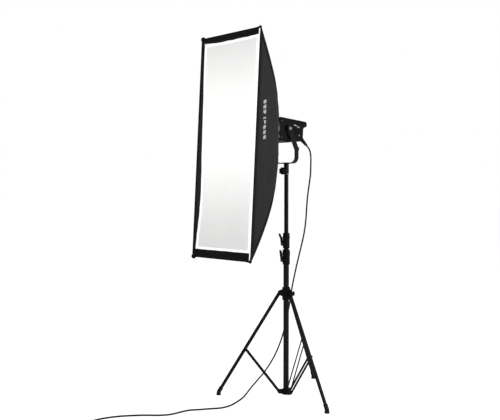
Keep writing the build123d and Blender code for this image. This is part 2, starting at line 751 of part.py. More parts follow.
with BuildPart() as tilt_knob:
    with BuildSketch(Plane(origin=lamp_at(-56, 0, 0), z_dir=(-1, 0, 0))):
        Circle(3.5 - RUN_FIT)
    extrude(amount=YOKE_OUT - 56 + 8)
    with BuildSketch(Plane(origin=lamp_at(-(YOKE_OUT + 0.6), 0, 0), z_dir=(-1, 0, 0))):
        Circle(11)
    extrude(amount=6.3)
    with BuildSketch(Plane(origin=lamp_at(-(YOKE_OUT + 6.9), 0, 0), z_dir=(-1, 0, 0))):
        Circle(21)
        with PolarLocations(24, 6):
            Circle(7, mode=Mode.SUBTRACT)
    extrude(amount=16)
keep(tilt_knob, "tilt_knob")

# ================================================================ softbox
N = (0, -turn(SB_TILT)[0], turn(SB_TILT)[1])
FRONT = Plane(origin=(COLUMN_X, COLUMN_Y + SB_FRONT_Y, SB_FRONT_Z), x_dir=(1, 0, 0), z_dir=N)
RING_UP = 121.0             # the ring sits this far above the middle of the front
SPEEDRING = (78.3, 92.0)    # along the lamp axis


def softbox_section(depth):
    """Fabric at a depth behind the front edge: lower half width, low, upper half width, high."""
    share = max(0.0, 1 - depth / SB_DEPTH)
    up = share ** BULGE_UP
    down = share ** BULGE_DOWN
    low = RING_UP - REAR_HALF_H - (SB_H / 2 + RING_UP - REAR_HALF_H) * down
    high = RING_UP + REAR_HALF_H + (SB_H / 2 - RING_UP - REAR_HALF_H) * up
    spread = SB_W / 2 - REAR_HALF_W
    return REAR_HALF_W + spread * down, low, REAR_HALF_W + spread * up, high


DEPTHS = (0.0, 30.0, 70.0, 110.0, 150.0, 190.0, 230.0, 262.0, 282.0)
CORNERS = (4.0, 6.0, 8.0, 8.0, 8.0, 9.0, 12.0, 18.0, 30.0)


with BuildPart() as softbox_shell:
    for inset, mode in ((0.0, Mode.ADD), (FABRIC, Mode.SUBTRACT)):
        for depth, corner in zip(DEPTHS, CORNERS):
            wide, low, narrow, high = softbox_section(depth)
            with BuildSketch(FRONT.offset(-depth)) as outline:
                with BuildLine():
                    Polyline(
                        (inset - wide, low + inset), (wide - inset, low + inset),
                        (narrow - inset, high - inset), (inset - narrow, high - inset), close=True,
                    )
                make_face()
                fillet(outline.vertices(), radius=max(corner - inset, 1.5))
        with BuildSketch(LAMP.offset(SPEEDRING[1] + 0.3)) as outline:
            with BuildLine():
                edge = 76 - inset
                Polyline((-edge, LAMP_AXIS - edge), (edge, LAMP_AXIS - edge),
                         (edge, LAMP_AXIS + edge), (-edge, LAMP_AXIS + edge), close=True)
            make_face()
            fillet(outline.vertices(), radius=60 - inset)
        loft(ruled=True, mode=mode)
keep(softbox_shell, "softbox_shell")

with BuildPart() as speedring:
    with BuildSketch(LAMP.offset(SPEEDRING[0])):
        with Locations((0, LAMP_AXIS)):
            Circle(RING_R - 1)
            Circle(BORE_R - 4, mode=Mode.SUBTRACT)
    extrude(amount=SPEEDRING[1] - SPEEDRING[0])
    # sleeve that centres the ring in the lamp's mount
    with BuildSketch(LAMP.offset(71)):
        with Locations((0, LAMP_AXIS)):
            Circle(BORE_R - RUN_FIT)
            Circle(BORE_R - 4, mode=Mode.SUBTRACT)
    extrude(amount=SPEEDRING[0] - 71)
    # four sockets for the rods
    for sx in (-1, 1):
        for sy in (-1, 1):
            with BuildSketch(Plane(origin=lamp_at(sx * 47, LAMP_AXIS + sy * 47, SPEEDRING[1] - 1),
                                   z_dir=LAMP.z_dir)):
                Circle(7)
            extrude(amount=9)
keep(speedring, "speedring")


def front_point(x, up, depth):
    return FRONT.from_local_coords(Vector(x, up, -depth))


ROD_R = 2.5
rod_wide, rod_low, rod_narrow, rod_high = softbox_section(150)
rod_lines = []
for sx in (-1, 1):
    for sy in (-1, 1):
        rod_lines.append((
            lamp_at(sx * 47, LAMP_AXIS + sy * 47, SPEEDRING[1] + 11),
            front_point(sx * (rod_narrow - 12), rod_high - 14, 150) if sy > 0
            else front_point(sx * (rod_wide - 14), rod_low + 18, 150),
            front_point(sx * 176, 498 if sy > 0 else -488, 38),
        ))
with BuildPart() as rods:
    for begin, middle, finish in rod_lines:
        with BuildLine() as bow:
            ThreePointArc(begin, middle, finish)
        with BuildSketch(Plane(origin=bow.edges()[0] @ 0, z_dir=bow.edges()[0] % 0)):
            Circle(ROD_R)
        sweep()
keep(rods, "rods")

# reinforced pockets sewn over the rod ends, one at each front corner
POCKET_R = 6.5
with BuildPart() as rod_pockets:
    with BuildSketch(FRONT.offset(-14.2)):
        with Locations(*[(sx * (SB_W / 2 + 4), sy * (SB_H / 2 + 2)) for sx in (-1, 1) for sy in (-1, 1)]):
            Circle(POCKET_R)
    extrude(amount=14)
    chamfer(rod_pockets.edges().filter_by(GeomType.CIRCLE), length=2)
    # each one wraps the corner of the shell
    with BuildSketch(FRONT.offset(0.3)):
        Rectangle(SB_W + 0.4, SB_H + 0.4)
    extrude(amount=-30, mode=Mode.SUBTRACT)
keep(rod_pockets, "rod_pockets")

# black sloping lip round the diffuser
LIP_SIDE = 12.0
LIP_TOP = 27.0
LIP_BOTTOM = 39.0
panel_w = SB_W - 2 * LIP_SIDE
panel_h = SB_H - LIP_TOP - LIP_BOTTOM
panel_mid = (LIP_BOTTOM - LIP_TOP) / 2
with BuildPart() as front_lip:
    for wall, mode in ((0.0, Mode.ADD), (2.0, Mode.SUBTRACT)):
        with BuildSketch(FRONT.offset(-1)):
            Rectangle(SB_W - 2 * FABRIC - 4 - 2 * wall, SB_H - 2 * FABRIC - 6 - 2 * wall)
        with BuildSketch(FRONT.offset(-RECESS)):
            with Locations((0, panel_mid)):
                Rectangle(panel_w + 3 - 2 * wall, panel_h + 3 - 2 * wall)
        loft(ruled=True, mode=mode)
keep(front_lip, "front_lip")

with BuildPart() as front_diffuser:
    with BuildSketch(FRONT.offset(-RECESS - 0.1)):
        with Locations((0, panel_mid)):
            Rectangle(panel_w - 1, panel_h - 1)
    extrude(amount=-1.5)
keep(front_diffuser, "front_diffuser")

with BuildPart() as inner_diffuser:
    wide, low, narrow, high = softbox_section(120)
    with BuildSketch(FRONT.offset(-120)):
        with Locations((0, (low + high) / 2)):
            RectangleRounded(2 * narrow - 60, high - low - 60, 20)
    extrude(amount=-1.5)
keep(inner_diffuser, "inner_diffuser")

# ================================================================ power cord
with BuildPart() as cord_connector:
    with BuildSketch(inlet.offset(0)):
        Circle(12)
    extrude(amount=22)
    with BuildSketch(inlet.offset(22)):
        Circle(10.5)
    extrude(amount=6)
    # trimmed flush with the rear wall that it is screwed to
    with BuildSketch(LAMP.offset(LAMP_REAR)):
        Rectangle(300, 300)
    extrude(amount=80, mode=Mode.SUBTRACT)
keep(cord_connector, "cord_connector")

with BuildPart() as strain_relief:
    with BuildSketch(inlet.offset(28)):
        Circle(10.4)
    with BuildSketch(inlet.offset(INLET_LENGTH)):
        Circle(6.8)
    loft()
    for k in range(3):
        with BuildSketch(inlet.offset(32 + 6.5 * k)):
            Circle(12)
            Circle(6.6, mode=Mode.SUBTRACT)
        extrude(amount=2, mode=Mode.SUBTRACT)
keep(strain_relief, "strain_relief")

# control points of the cord's route, measured from the column axis at the floor
ROUTE = (
    ((40, 118, 1344), (40, 139, 1329.517), (39, 154, 1308), (37, 162, 1276), (33, 165, 1234)),
    ((30.5, 167.5, 1192), (26, 163, 1142), (19, 157, 1078)),
    ((15, 153, 1010), (11, 152, 935), (4, 145, 862), (-8, 134, 790), (-21, 120, 712), (-33, 108, 634)),
    ((-44, 98, 560), (-52, 91, 484), (-60, 80, 410)),
    ((-71, 69, 338), (-86, 55, 268), (-106, 37, 200), (-130, 14, 139), (-156, -13, 86),
     (-180, -46, 42), (-182, -92, 12), (-152, -150, LIE), (-115, -212, LIE), (-88, -282, LIE),
     (-66, -352, LIE), (-70, -412, LIE), (-104, -458, LIE), (-134, -508, LIE), (-166, -548, LIE),
     (-172, -606, LIE), (-178, -660, LIE), (-212, -706, LIE), (-256, -742, LIE), (-298, -790, LIE),
     (-336, -842, LIE), (-362, -898, LIE), (-374, -952, LIE), (-373, -1009, LIE), (-368, -1066, LIE)),
)
COIL_MID = (-302.5, -1090.0)
COIL_R = 52.75              # middle of the turns
COIL_SPREAD = 2 * CORD_D    # half of the bundle's width: four turns side by side
COIL_H = 2 * CORD_D + 0.2   # two layers of turns
PLUG_AT = (79.0, -66.0)     # from the middle of the coil

points = [Vector(COLUMN_X + x, COLUMN_Y + y, z) for length in ROUTE for x, y, z in length]
cuts = []
count = 0
for length in ROUTE[:-1]:
    count += len(length)
    cuts.append(count)

total = 0.0
for index in range(len(ROUTE)):
    first = cuts[index - 1] if index else 0
    last = cuts[index] if index < len(cuts) else len(points)
    run = list(points[first:last])
    if index:
        run = [(points[first - 1] + points[first]) / 2] + run
    if index < len(cuts):
        run = run + [(points[last - 1] + points[last]) / 2]
    radii = []
    for before, here, after in zip(run, run[1:], run[2:]):
        bend = (here - before).get_angle(after - here)
        shorter = min((here - before).length, (after - here).length)
        radii.append(0.45 * shorter / math.tan(math.radians(bend / 2)))
    with BuildPart() as cord:
        with BuildLine() as path:
            FilletPolyline(*run, radius=radii)
        with BuildSketch(Plane(origin=run[0], z_dir=(run[1] - run[0]))):
            Circle(CORD_D / 2)
        sweep(transition=Transition.RIGHT)
    length = sum(edge.length for edge in path.line.edges())
    total += length
    print("cord", index + 1, "runs", [round((q - p).length) for p, q in zip(run, run[1:])])
    print("   radii", [round(r) for r in radii], "length", round(length),
          "volume share", round(cord.part.volume / (length * math.pi * CORD_D ** 2 / 4), 4))
    keep(cord, "cord_" + str(index + 1))
print("cord outside the coil", round(total), "left for the coil", round(CORD_TOTAL - total),
      "turns", round((CORD_TOTAL - total) / (2 * math.pi * COIL_R), 2))

with BuildPart() as cord_coil:
    with BuildSketch(Plane(origin=(COLUMN_X + COIL_MID[0], COLUMN_Y + COIL_MID[1], 0))):
        Circle(COIL_R + COIL_SPREAD)
        Circle(COIL_R - COIL_SPREAD, mode=Mode.SUBTRACT)
    extrude(amount=COIL_H)
    chamfer(cord_coil.edges(), length=2.5)
keep(cord_coil, "cord_coil")

# mains plug lying beside the coil
with BuildPart() as mains_plug:
    seat = Plane(origin=(COLUMN_X + COIL_MID[0] + PLUG_AT[0], COLUMN_Y + COIL_MID[1] + PLUG_AT[1], 0))
    with BuildSketch(seat):
        RectangleRounded(44, 26, 9)
    extrude(amount=22)
    chamfer(mains_plug.edges().group_by(Axis.Z)[-1], length=4)
    with BuildSketch(Plane(origin=seat.origin + Vector(22, 0, 11), x_dir=(0, 1, 0), z_dir=(1, 0, 0))):
        with Locations((6.35, 0), (-6.35, 0)):
            Circle(2.4)
    extrude(amount=19)
    with BuildSketch(Plane(origin=seat.origin + Vector(-21, 0, 11), z_dir=(-1, 0, 0))):
        Circle(6)
    extrude(amount=20, taper=6)
keep(mains_plug, "mains_plug")

print(len(made), "nodes")
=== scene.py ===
"""A tall strip softbox on a lamp head and a light stand: the looks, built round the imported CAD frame."""
import json
import math

import bpy
from mathutils import Vector, noise
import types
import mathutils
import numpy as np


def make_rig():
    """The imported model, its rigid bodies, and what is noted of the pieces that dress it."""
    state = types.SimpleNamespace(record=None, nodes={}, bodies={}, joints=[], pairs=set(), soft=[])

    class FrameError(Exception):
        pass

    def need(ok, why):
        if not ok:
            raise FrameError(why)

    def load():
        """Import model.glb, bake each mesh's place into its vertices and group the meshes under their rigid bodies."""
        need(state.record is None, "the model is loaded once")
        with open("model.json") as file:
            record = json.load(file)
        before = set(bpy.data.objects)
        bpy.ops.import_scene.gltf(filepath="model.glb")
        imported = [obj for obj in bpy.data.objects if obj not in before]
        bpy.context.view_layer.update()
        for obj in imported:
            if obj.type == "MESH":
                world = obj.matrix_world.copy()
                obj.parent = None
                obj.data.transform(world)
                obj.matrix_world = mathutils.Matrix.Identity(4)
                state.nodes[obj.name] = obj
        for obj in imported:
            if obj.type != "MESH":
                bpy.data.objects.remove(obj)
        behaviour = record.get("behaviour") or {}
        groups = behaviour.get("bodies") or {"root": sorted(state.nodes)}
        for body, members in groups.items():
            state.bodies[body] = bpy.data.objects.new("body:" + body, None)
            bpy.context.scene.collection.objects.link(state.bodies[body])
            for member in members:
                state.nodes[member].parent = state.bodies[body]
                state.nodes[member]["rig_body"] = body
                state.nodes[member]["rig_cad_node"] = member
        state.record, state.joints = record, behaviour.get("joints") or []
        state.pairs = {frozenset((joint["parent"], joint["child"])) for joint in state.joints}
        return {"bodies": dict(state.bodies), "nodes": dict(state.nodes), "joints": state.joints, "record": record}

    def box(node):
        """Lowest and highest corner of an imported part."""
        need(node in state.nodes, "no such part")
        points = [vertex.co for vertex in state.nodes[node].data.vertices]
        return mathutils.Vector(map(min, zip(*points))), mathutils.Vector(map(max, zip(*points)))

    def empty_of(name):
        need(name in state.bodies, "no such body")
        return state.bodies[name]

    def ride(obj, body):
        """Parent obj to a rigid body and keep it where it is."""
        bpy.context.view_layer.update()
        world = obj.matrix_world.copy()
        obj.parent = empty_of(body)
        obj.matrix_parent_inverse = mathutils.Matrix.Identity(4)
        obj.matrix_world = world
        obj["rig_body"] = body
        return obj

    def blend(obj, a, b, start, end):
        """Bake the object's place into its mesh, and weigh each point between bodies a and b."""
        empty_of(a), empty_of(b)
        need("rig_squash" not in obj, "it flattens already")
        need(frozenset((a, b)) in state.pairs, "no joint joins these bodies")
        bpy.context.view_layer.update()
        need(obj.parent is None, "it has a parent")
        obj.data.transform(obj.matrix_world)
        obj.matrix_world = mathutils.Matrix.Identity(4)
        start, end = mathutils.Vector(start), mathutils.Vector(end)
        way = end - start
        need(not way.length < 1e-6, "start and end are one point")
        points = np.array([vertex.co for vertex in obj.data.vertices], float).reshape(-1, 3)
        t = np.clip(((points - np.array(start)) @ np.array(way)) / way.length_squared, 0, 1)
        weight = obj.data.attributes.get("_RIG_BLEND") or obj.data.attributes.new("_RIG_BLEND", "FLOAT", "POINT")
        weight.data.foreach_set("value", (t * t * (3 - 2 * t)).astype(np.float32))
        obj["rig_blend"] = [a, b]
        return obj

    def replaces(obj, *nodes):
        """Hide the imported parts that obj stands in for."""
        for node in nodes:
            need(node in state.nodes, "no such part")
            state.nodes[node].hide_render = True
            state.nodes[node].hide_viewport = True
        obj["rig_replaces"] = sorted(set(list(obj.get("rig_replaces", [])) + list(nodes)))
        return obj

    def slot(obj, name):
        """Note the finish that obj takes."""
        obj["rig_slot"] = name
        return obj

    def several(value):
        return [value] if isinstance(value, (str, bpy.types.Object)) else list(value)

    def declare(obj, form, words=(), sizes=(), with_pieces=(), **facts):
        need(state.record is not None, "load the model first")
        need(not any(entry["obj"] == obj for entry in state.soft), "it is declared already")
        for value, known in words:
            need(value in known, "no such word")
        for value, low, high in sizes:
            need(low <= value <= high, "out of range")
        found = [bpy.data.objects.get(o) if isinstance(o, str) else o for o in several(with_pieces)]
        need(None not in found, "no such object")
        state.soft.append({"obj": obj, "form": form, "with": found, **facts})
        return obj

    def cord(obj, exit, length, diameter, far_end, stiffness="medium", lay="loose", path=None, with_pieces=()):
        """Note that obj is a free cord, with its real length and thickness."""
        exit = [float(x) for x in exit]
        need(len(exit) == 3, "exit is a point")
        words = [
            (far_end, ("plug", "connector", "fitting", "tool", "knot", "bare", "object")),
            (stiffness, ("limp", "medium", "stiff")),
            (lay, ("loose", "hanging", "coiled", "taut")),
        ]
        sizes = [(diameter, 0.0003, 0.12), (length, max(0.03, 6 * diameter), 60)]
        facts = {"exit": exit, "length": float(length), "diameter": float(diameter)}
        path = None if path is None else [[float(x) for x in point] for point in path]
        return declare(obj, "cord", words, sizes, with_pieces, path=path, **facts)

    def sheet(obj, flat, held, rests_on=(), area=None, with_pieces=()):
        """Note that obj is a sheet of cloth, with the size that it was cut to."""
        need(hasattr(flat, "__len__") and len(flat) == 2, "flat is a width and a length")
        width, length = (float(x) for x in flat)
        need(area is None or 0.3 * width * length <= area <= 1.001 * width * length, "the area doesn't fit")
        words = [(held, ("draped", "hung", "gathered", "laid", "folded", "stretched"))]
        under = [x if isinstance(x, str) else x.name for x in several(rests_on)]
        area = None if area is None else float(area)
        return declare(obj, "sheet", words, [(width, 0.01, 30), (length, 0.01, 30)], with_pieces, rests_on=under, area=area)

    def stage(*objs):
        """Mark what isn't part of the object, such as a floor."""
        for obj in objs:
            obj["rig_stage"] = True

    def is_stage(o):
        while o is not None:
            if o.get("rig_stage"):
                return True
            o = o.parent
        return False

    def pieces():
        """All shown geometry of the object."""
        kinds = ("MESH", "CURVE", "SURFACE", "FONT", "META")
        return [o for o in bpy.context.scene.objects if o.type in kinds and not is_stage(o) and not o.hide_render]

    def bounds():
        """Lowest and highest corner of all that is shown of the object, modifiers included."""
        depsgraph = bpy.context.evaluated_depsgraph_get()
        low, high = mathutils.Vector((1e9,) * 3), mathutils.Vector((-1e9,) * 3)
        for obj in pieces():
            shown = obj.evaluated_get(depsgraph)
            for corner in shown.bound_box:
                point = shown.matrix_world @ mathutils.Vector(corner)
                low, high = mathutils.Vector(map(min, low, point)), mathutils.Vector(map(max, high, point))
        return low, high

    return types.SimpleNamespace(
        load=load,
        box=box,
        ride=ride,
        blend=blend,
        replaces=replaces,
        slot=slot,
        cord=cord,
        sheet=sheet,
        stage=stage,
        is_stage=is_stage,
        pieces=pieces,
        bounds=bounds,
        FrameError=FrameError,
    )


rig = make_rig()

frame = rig.load()
cad_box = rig.bounds()
nodes = frame["nodes"]
joints = {joint["name"]: joint for joint in frame["joints"]}
scene = bpy.context.scene

# ---------------------------------------------------------------- places, in metres
tube_low, tube_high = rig.box("base_tube")
COLUMN = Vector(((tube_low.x + tube_high.x) / 2, (tube_low.y + tube_high.y) / 2, 0))
PIVOT = Vector(joints["tilt"]["pos_m"])
AHEAD = Vector(joints["softbox_turn"]["axis"]).normalized()
UP = Vector(joints["latch_pull"]["axis"]).normalized()
SIDE = Vector((1, 0, 0))

LAMP_TOP = 0.052
LAMP_HALF_WIDTH = 0.065
LAMP_REAR = -0.127
HOUSING_SPLIT = -0.050

SOFTBOX_MID = COLUMN + Vector((0, -0.448, 1.3165))
SOFTBOX_W = 0.404           # over the cloth at the front edge
SOFTBOX_H = 1.103
SOFTBOX_DEPTH = 0.300
EDGE_AHEAD = 0.0030         # the bound edge stands ahead of the rods' plane
BULGE_UP = 0.80
BULGE_DOWN = 0.58
FAR_SLACK = 0.0035          # the far front edge is less taut and stands out a little
RING_DEPTH = 0.2875
REAR_HALF_W = 0.070          # the cloth where it meets the ring
REAR_HALF_H = 0.072
RING_UP = 0.1225
RING_HALF = 0.0755
LIP_SIDE = 0.0095
LIP_TOP = 0.0300
LIP_BOTTOM = 0.0400

CORD_D = 0.0085
COIL_MID = COLUMN + Vector((-0.3025, -1.090, 0))
COIL_INNER = 0.040
COIL_TURNS_ACROSS = 4


def lamp_at(x, up, ahead):
    return PIVOT + SIDE * x + UP * up + AHEAD * ahead


def softbox_at(x, up, depth):
    return SOFTBOX_MID + SIDE * x + UP * up - AHEAD * depth


# ---------------------------------------------------------------- materials
class Look:
    """A Principled material and the few nodes that its procedural detail needs."""

    def __init__(self, name, color, roughness, metallic=0.0, **sockets):
        self.material = bpy.data.materials.new(name)
        self.material.use_nodes = True
        self.tree = self.material.node_tree
        self.shader = self.tree.nodes["Principled BSDF"]
        self.set(Base_Color=(*color, 1), Roughness=roughness, Metallic=metallic, **sockets)
        self.normal = None

    def set(self, **sockets):
        for key, value in sockets.items():
            self.shader.inputs[key.replace("_", " ")].default_value = value

    def link(self, source, target):
        self.tree.links.new(source, target)
        return source

    def add(self, kind, **settings):
        node = self.tree.nodes.new("ShaderNode" + kind)
        for key, value in settings.items():
            if hasattr(node, key):
                setattr(node, key, value)
            else:
                node.inputs[key.replace("_", " ")].default_value = value
        return node

    def coordinates(self, stretch=(1, 1, 1), kind="Object", turn=(0, 0, 0)):
        mapping = self.add("Mapping", Scale=stretch, Rotation=turn)
        self.link(self.add("TexCoord").outputs[kind], mapping.inputs["Vector"])
        return mapping.outputs["Vector"]

    def noise(self, scale, detail=3.0, rough=0.5, at=None, distortion=0.0):
        node = self.add("TexNoise", Scale=scale, Detail=detail, Roughness=rough, Distortion=distortion)
        self.link(at or self.coordinates(), node.inputs["Vector"])
        return node.outputs["Fac"]

    def cells(self, scale, at=None, feature="F1"):
        node = self.add("TexVoronoi", feature=feature, Scale=scale)
        self.link(at or self.coordinates(), node.inputs["Vector"])
        return node.outputs["Distance"]

    def wave(self, scale, direction="X", at=None, distortion=0.0, profile="SIN"):
        node = self.add("TexWave", bands_direction=direction, wave_profile=profile, Scale=scale,
                        Distortion=distortion)
        self.link(at or self.coordinates(), node.inputs["Vector"])
        return node.outputs["Fac"]

    def ramp(self, source, low, high, at=(0.0, 1.0)):
        """A colour that runs from low to high as source runs over at."""
        node = self.add("ValToRGB")
        node.color_ramp.elements[0].position, node.color_ramp.elements[1].position = at
        node.color_ramp.elements[0].color = (*low, 1)
        node.color_ramp.elements[1].color = (*high, 1)
        self.link(source, node.inputs["Fac"])
        return node.outputs["Color"]

    def span(self, source, low, high, start=0.0, end=1.0):
        """A number that runs from low to high as source runs from start to end."""
        node = self.add("MapRange", From_Min=start, From_Max=end, To_Min=low, To_Max=high)
        self.link(source, node.inputs["Value"])
        return node.outputs["Result"]

    def math(self, operation, a, b=0.5):
        node = self.add("Math", operation=operation)
        for socket, value in zip(node.inputs, (a, b)):
            if isinstance(value, (int, float)):
                socket.default_value = value
            else:
                self.link(value, socket)
        return node.outputs["Value"]

    def mix(self, share, a, b):
        node = self.add("Mix", data_type="RGBA")
        for socket, value in zip((node.inputs[0], node.inputs[6], node.inputs[7]), (share, a, b)):
            if isinstance(value, (int, float)):
                socket.default_value = value
            elif isinstance(value, tuple):
                socket.default_value = (*value, 1)
            else:
                self.link(value, socket)
        return node.outputs[2]

    def bump(self, height, distance, strength=1.0):
        node = self.add("Bump", Distance=distance, Strength=strength)
        self.link(height, node.inputs["Height"])
        if self.normal:
            self.link(self.normal, node.inputs["Normal"])
        self.normal = node.outputs["Normal"]
        self.link(self.normal, self.shader.inputs["Normal"])
        return self

    def color(self, source):
        self.link(source, self.shader.inputs["Base Color"])
        return self

    def roughness(self, source):
        self.link(source, self.shader.inputs["Roughness"])
        return self


def enamel(name, color, scratch, roughness=0.34):
    """Satin paint on tube: orange peel, faint drawn streaks, scuffs down to a greyer coat."""
    look = Look(name, color, roughness, Specular_IOR_Level=0.3, Coat_Weight=0.10, Coat_Roughness=0.2)
    streaks = look.noise(1.0, 4, 0.6, look.coordinates((260, 260, 5)))
    scuffs = look.noise(42, 5, 0.68, look.coordinates((1.6, 1.6, 0.5)))
    worn = look.span(scuffs, 0.0, 1.0, 0.60, 0.72)
    fine = look.span(look.noise(1.0, 2, 0.5, look.coordinates((900, 900, 34))), 0.0, 1.0, 0.62, 0.74)
    wear = look.math("MULTIPLY", worn, fine)
    tone = look.ramp(streaks, tuple(c * 0.72 for c in color), tuple(c * 1.35 for c in color), (0.3, 0.75))
    look.color(look.mix(wear, tone, scratch))
    look.roughness(look.span(scuffs, roughness - 0.06, roughness + 0.14, 0.3, 0.8))
    look.bump(look.noise(420, 2), 0.00006, 0.5)
    look.bump(streaks, 0.00004, 0.4)
    return look.material


def moulded(name, color, roughness=0.5, grain=1500, depth=0.00011):
    """Moulded plastic: spark-eroded grain, slow shade changes, rubbed patches."""
    look = Look(name, color, roughness, Specular_IOR_Level=0.16)
    slow = look.noise(26, 4, 0.6)
    look.color(look.ramp(slow, tuple(c * 0.78 for c in color), tuple(c * 1.3 for c in color), (0.32, 0.7)))
    look.roughness(look.span(look.noise(60, 4, 0.7), roughness - 0.1, roughness + 0.1, 0.3, 0.7))
    look.bump(look.cells(grain), depth, 0.5)
    look.bump(look.noise(grain * 0.35, 3), depth * 0.8, 0.35)
    return look.material


def metal(name, color, roughness=0.28, direction=(6, 1200, 1200), depth=0.00003):
    """Turned or brushed bare metal."""
    look = Look(name, color, roughness, 1.0)
    lines = look.noise(1.0, 3, 0.65, look.coordinates(direction))
    stains = look.noise(70, 4, 0.6)
    look.color(look.ramp(stains, tuple(c * 0.75 for c in color), color, (0.3, 0.62)))
    look.roughness(look.span(lines, roughness - 0.08, roughness + 0.14, 0.3, 0.7))
    look.bump(lines, depth, 0.7)
    return look.material


def soft_rubber(name, color, roughness=0.62):
    """Rubber and cable jacket: a dull bloom, dust in the grain."""
    look = Look(name, color, roughness, Specular_IOR_Level=0.35)
    bloom = look.noise(55, 5, 0.65)
    look.color(look.ramp(bloom, tuple(c * 0.8 for c in color), tuple(c * 1.6 for c in color), (0.35, 0.75)))
    look.roughness(look.span(bloom, roughness - 0.08, roughness + 0.16, 0.3, 0.75))
    look.bump(look.noise(1100, 3, 0.6), 0.00006, 0.5)
    return look.material


def woven(name, color, light, pitch=0.0009, roughness=0.62, sheen=0.35, crease=0.0006):
    """Nylon cloth: over-and-under weave along the panel's own threads, with soft creases."""
    look = Look(name, color, roughness, Sheen_Weight=sheen, Sheen_Roughness=0.4, Specular_IOR_Level=0.35)
    threads = look.coordinates(kind="UV")
    scale = 2 * math.pi / 20 / pitch
    warp = look.wave(scale, "X", threads, 0.4)
    weft = look.wave(scale, "Y", threads, 0.4)
    weave = look.math("MAXIMUM", warp, weft)
    patches = look.noise(5, 4, 0.6, look.coordinates((1, 1, 0.6)))
    lint = look.span(look.noise(700, 2, 0.5), 0, 1, 0.66, 0.76)
    tone = look.ramp(patches, color, light, (0.3, 0.72))
    thread_tone = look.mix(look.span(weave, 0.0, 0.35), tone, tuple(c * 0.45 for c in color))
    look.color(look.mix(look.math("MULTIPLY", lint, 0.25), thread_tone, tuple(min(1, c * 3) for c in light)))
    look.roughness(look.span(patches, roughness - 0.05, roughness + 0.12, 0.3, 0.7))
    look.bump(look.noise(9, 5, 0.6, look.coordinates((1, 1, 0.5))), crease * 4, 0.5)
    look.bump(look.noise(48, 4, 0.62), crease, 0.5)
    look.bump(weave, 0.00012, 0.6)
    return look.material


def diffusion(name, painted_glow):
    """White diffusion cloth with a painted glow: emission round the lamp's axis stands in for light from behind."""
    look = Look(name, (0.9, 0.9, 0.9), 0.78, Sheen_Weight=0.15, Specular_IOR_Level=0.2)
    threads = look.coordinates(kind="UV")
    weave = look.math("MAXIMUM", look.wave(330, "X", threads, 0.6), look.wave(330, "Y", threads, 0.6))
    mottle = look.noise(16, 4, 0.6)
    look.color(look.ramp(mottle, (0.86, 0.86, 0.865), (0.93, 0.93, 0.925), (0.3, 0.7)))
    look.bump(look.noise(14, 4, 0.55, look.coordinates((1, 1, 0.35))), 0.0012, 0.35)
    look.bump(weave, 0.00008, 0.5)
    # painted glow: the emission falls off up and down from the lamp's axis
    height = look.add("SeparateXYZ")
    look.link(look.coordinates(), height.inputs["Vector"])
    offset = look.math("ABSOLUTE", look.math("SUBTRACT", height.outputs["Z"], PIVOT.z - 0.03))
    painted_glow_falloff = look.add("MapRange", interpolation_type="SMOOTHSTEP", From_Min=0.04, From_Max=0.62,
                    To_Min=painted_glow[0], To_Max=painted_glow[1])
    look.link(offset, painted_glow_falloff.inputs["Value"])
    look.link(painted_glow_falloff.outputs["Result"], look.shader.inputs["Emission Strength"])
    look.set(Emission_Color=(1, 0.995, 0.985, 1))
    return look.material


def coated(name, color, roughness=0.3, coat=0.0):
    """A smooth print or screen: faint dust and ripple only."""
    look = Look(name, color, roughness, Coat_Weight=coat, Coat_Roughness=0.06)
    dust = look.noise(380, 3, 0.6)
    dark, pale = tuple(c * 0.85 for c in color), tuple(min(1, c * 1.1) for c in color)
    look.color(look.ramp(dust, dark, pale, (0.3, 0.7)))
    look.roughness(look.span(dust, roughness, roughness + 0.12, 0.35, 0.75))
    look.bump(dust, 0.00003, 0.3)
    return look.material


def lit(name, color, strength):
    look = Look(name, color, 0.4, Emission_Color=(*color, 1), Emission_Strength=strength)
    look.color(look.ramp(look.noise(600, 2), tuple(c * 0.9 for c in color), color))
    return look.material


PAINT = enamel("satin_black_enamel", (0.005, 0.005, 0.0055), (0.06, 0.06, 0.063), 0.30)
YOKE_PAINT = enamel("yoke_powder_coat", (0.006, 0.006, 0.0065), (0.06, 0.06, 0.063), 0.42)
PLASTIC = moulded("black_moulding", (0.007, 0.007, 0.0075), 0.46)
CASE = moulded("lamp_case_moulding", (0.010, 0.010, 0.011), 0.50, 1900, 0.00014)
GREY_PLASTIC = moulded("grey_moulding", (0.10, 0.10, 0.105), 0.48)
PANEL = moulded("panel_moulding", (0.010, 0.010, 0.011), 0.36, 2400, 0.00006)
STEEL = metal("turned_steel", (0.62, 0.62, 0.63), 0.26, (1200, 1200, 40))
PIVOT_CAP = coated("pale_grey_cap", (0.66, 0.66, 0.67), 0.4)
ALUMINIUM = metal("machined_aluminium", (0.72, 0.72, 0.73), 0.34, (300, 300, 300))
SPRING_STEEL = metal("black_spring_steel", (0.12, 0.12, 0.125), 0.32, (900, 60, 60))
RUBBER = soft_rubber("black_rubber", (0.014, 0.014, 0.014))
JACKET = soft_rubber("cable_jacket", (0.018, 0.018, 0.019), 0.5)
CLOTH = woven("softbox_nylon", (0.020, 0.020, 0.022), (0.036, 0.036, 0.038), sheen=0.12)
SLEEVE_CLOTH = woven("black_sleeve_nylon", (0.0035, 0.0035, 0.004), (0.007, 0.007, 0.0075), sheen=0.03)
BINDING = woven("black_webbing", (0.0025, 0.0025, 0.003), (0.006, 0.006, 0.0065), 0.0016, 0.75, 0.03, 0.0002)
LINING = woven("white_lining", (0.78, 0.78, 0.78), (0.86, 0.86, 0.86), 0.0009, 0.6, 0.1, 0.0004)
# each pair is a painted glow: emission strength on the lamp's axis, then away from it
FRONT_CLOTH = diffusion("front_diffusion_cloth", (0.76, 0.42))
HEM_CLOTH = diffusion("diffuser_hem_cloth", (0.85, 0.80))
BAFFLE_CLOTH = diffusion("inner_baffle_cloth", (0.6, 0.2))
THREAD = soft_rubber("black_thread", (0.03, 0.03, 0.031), 0.7)
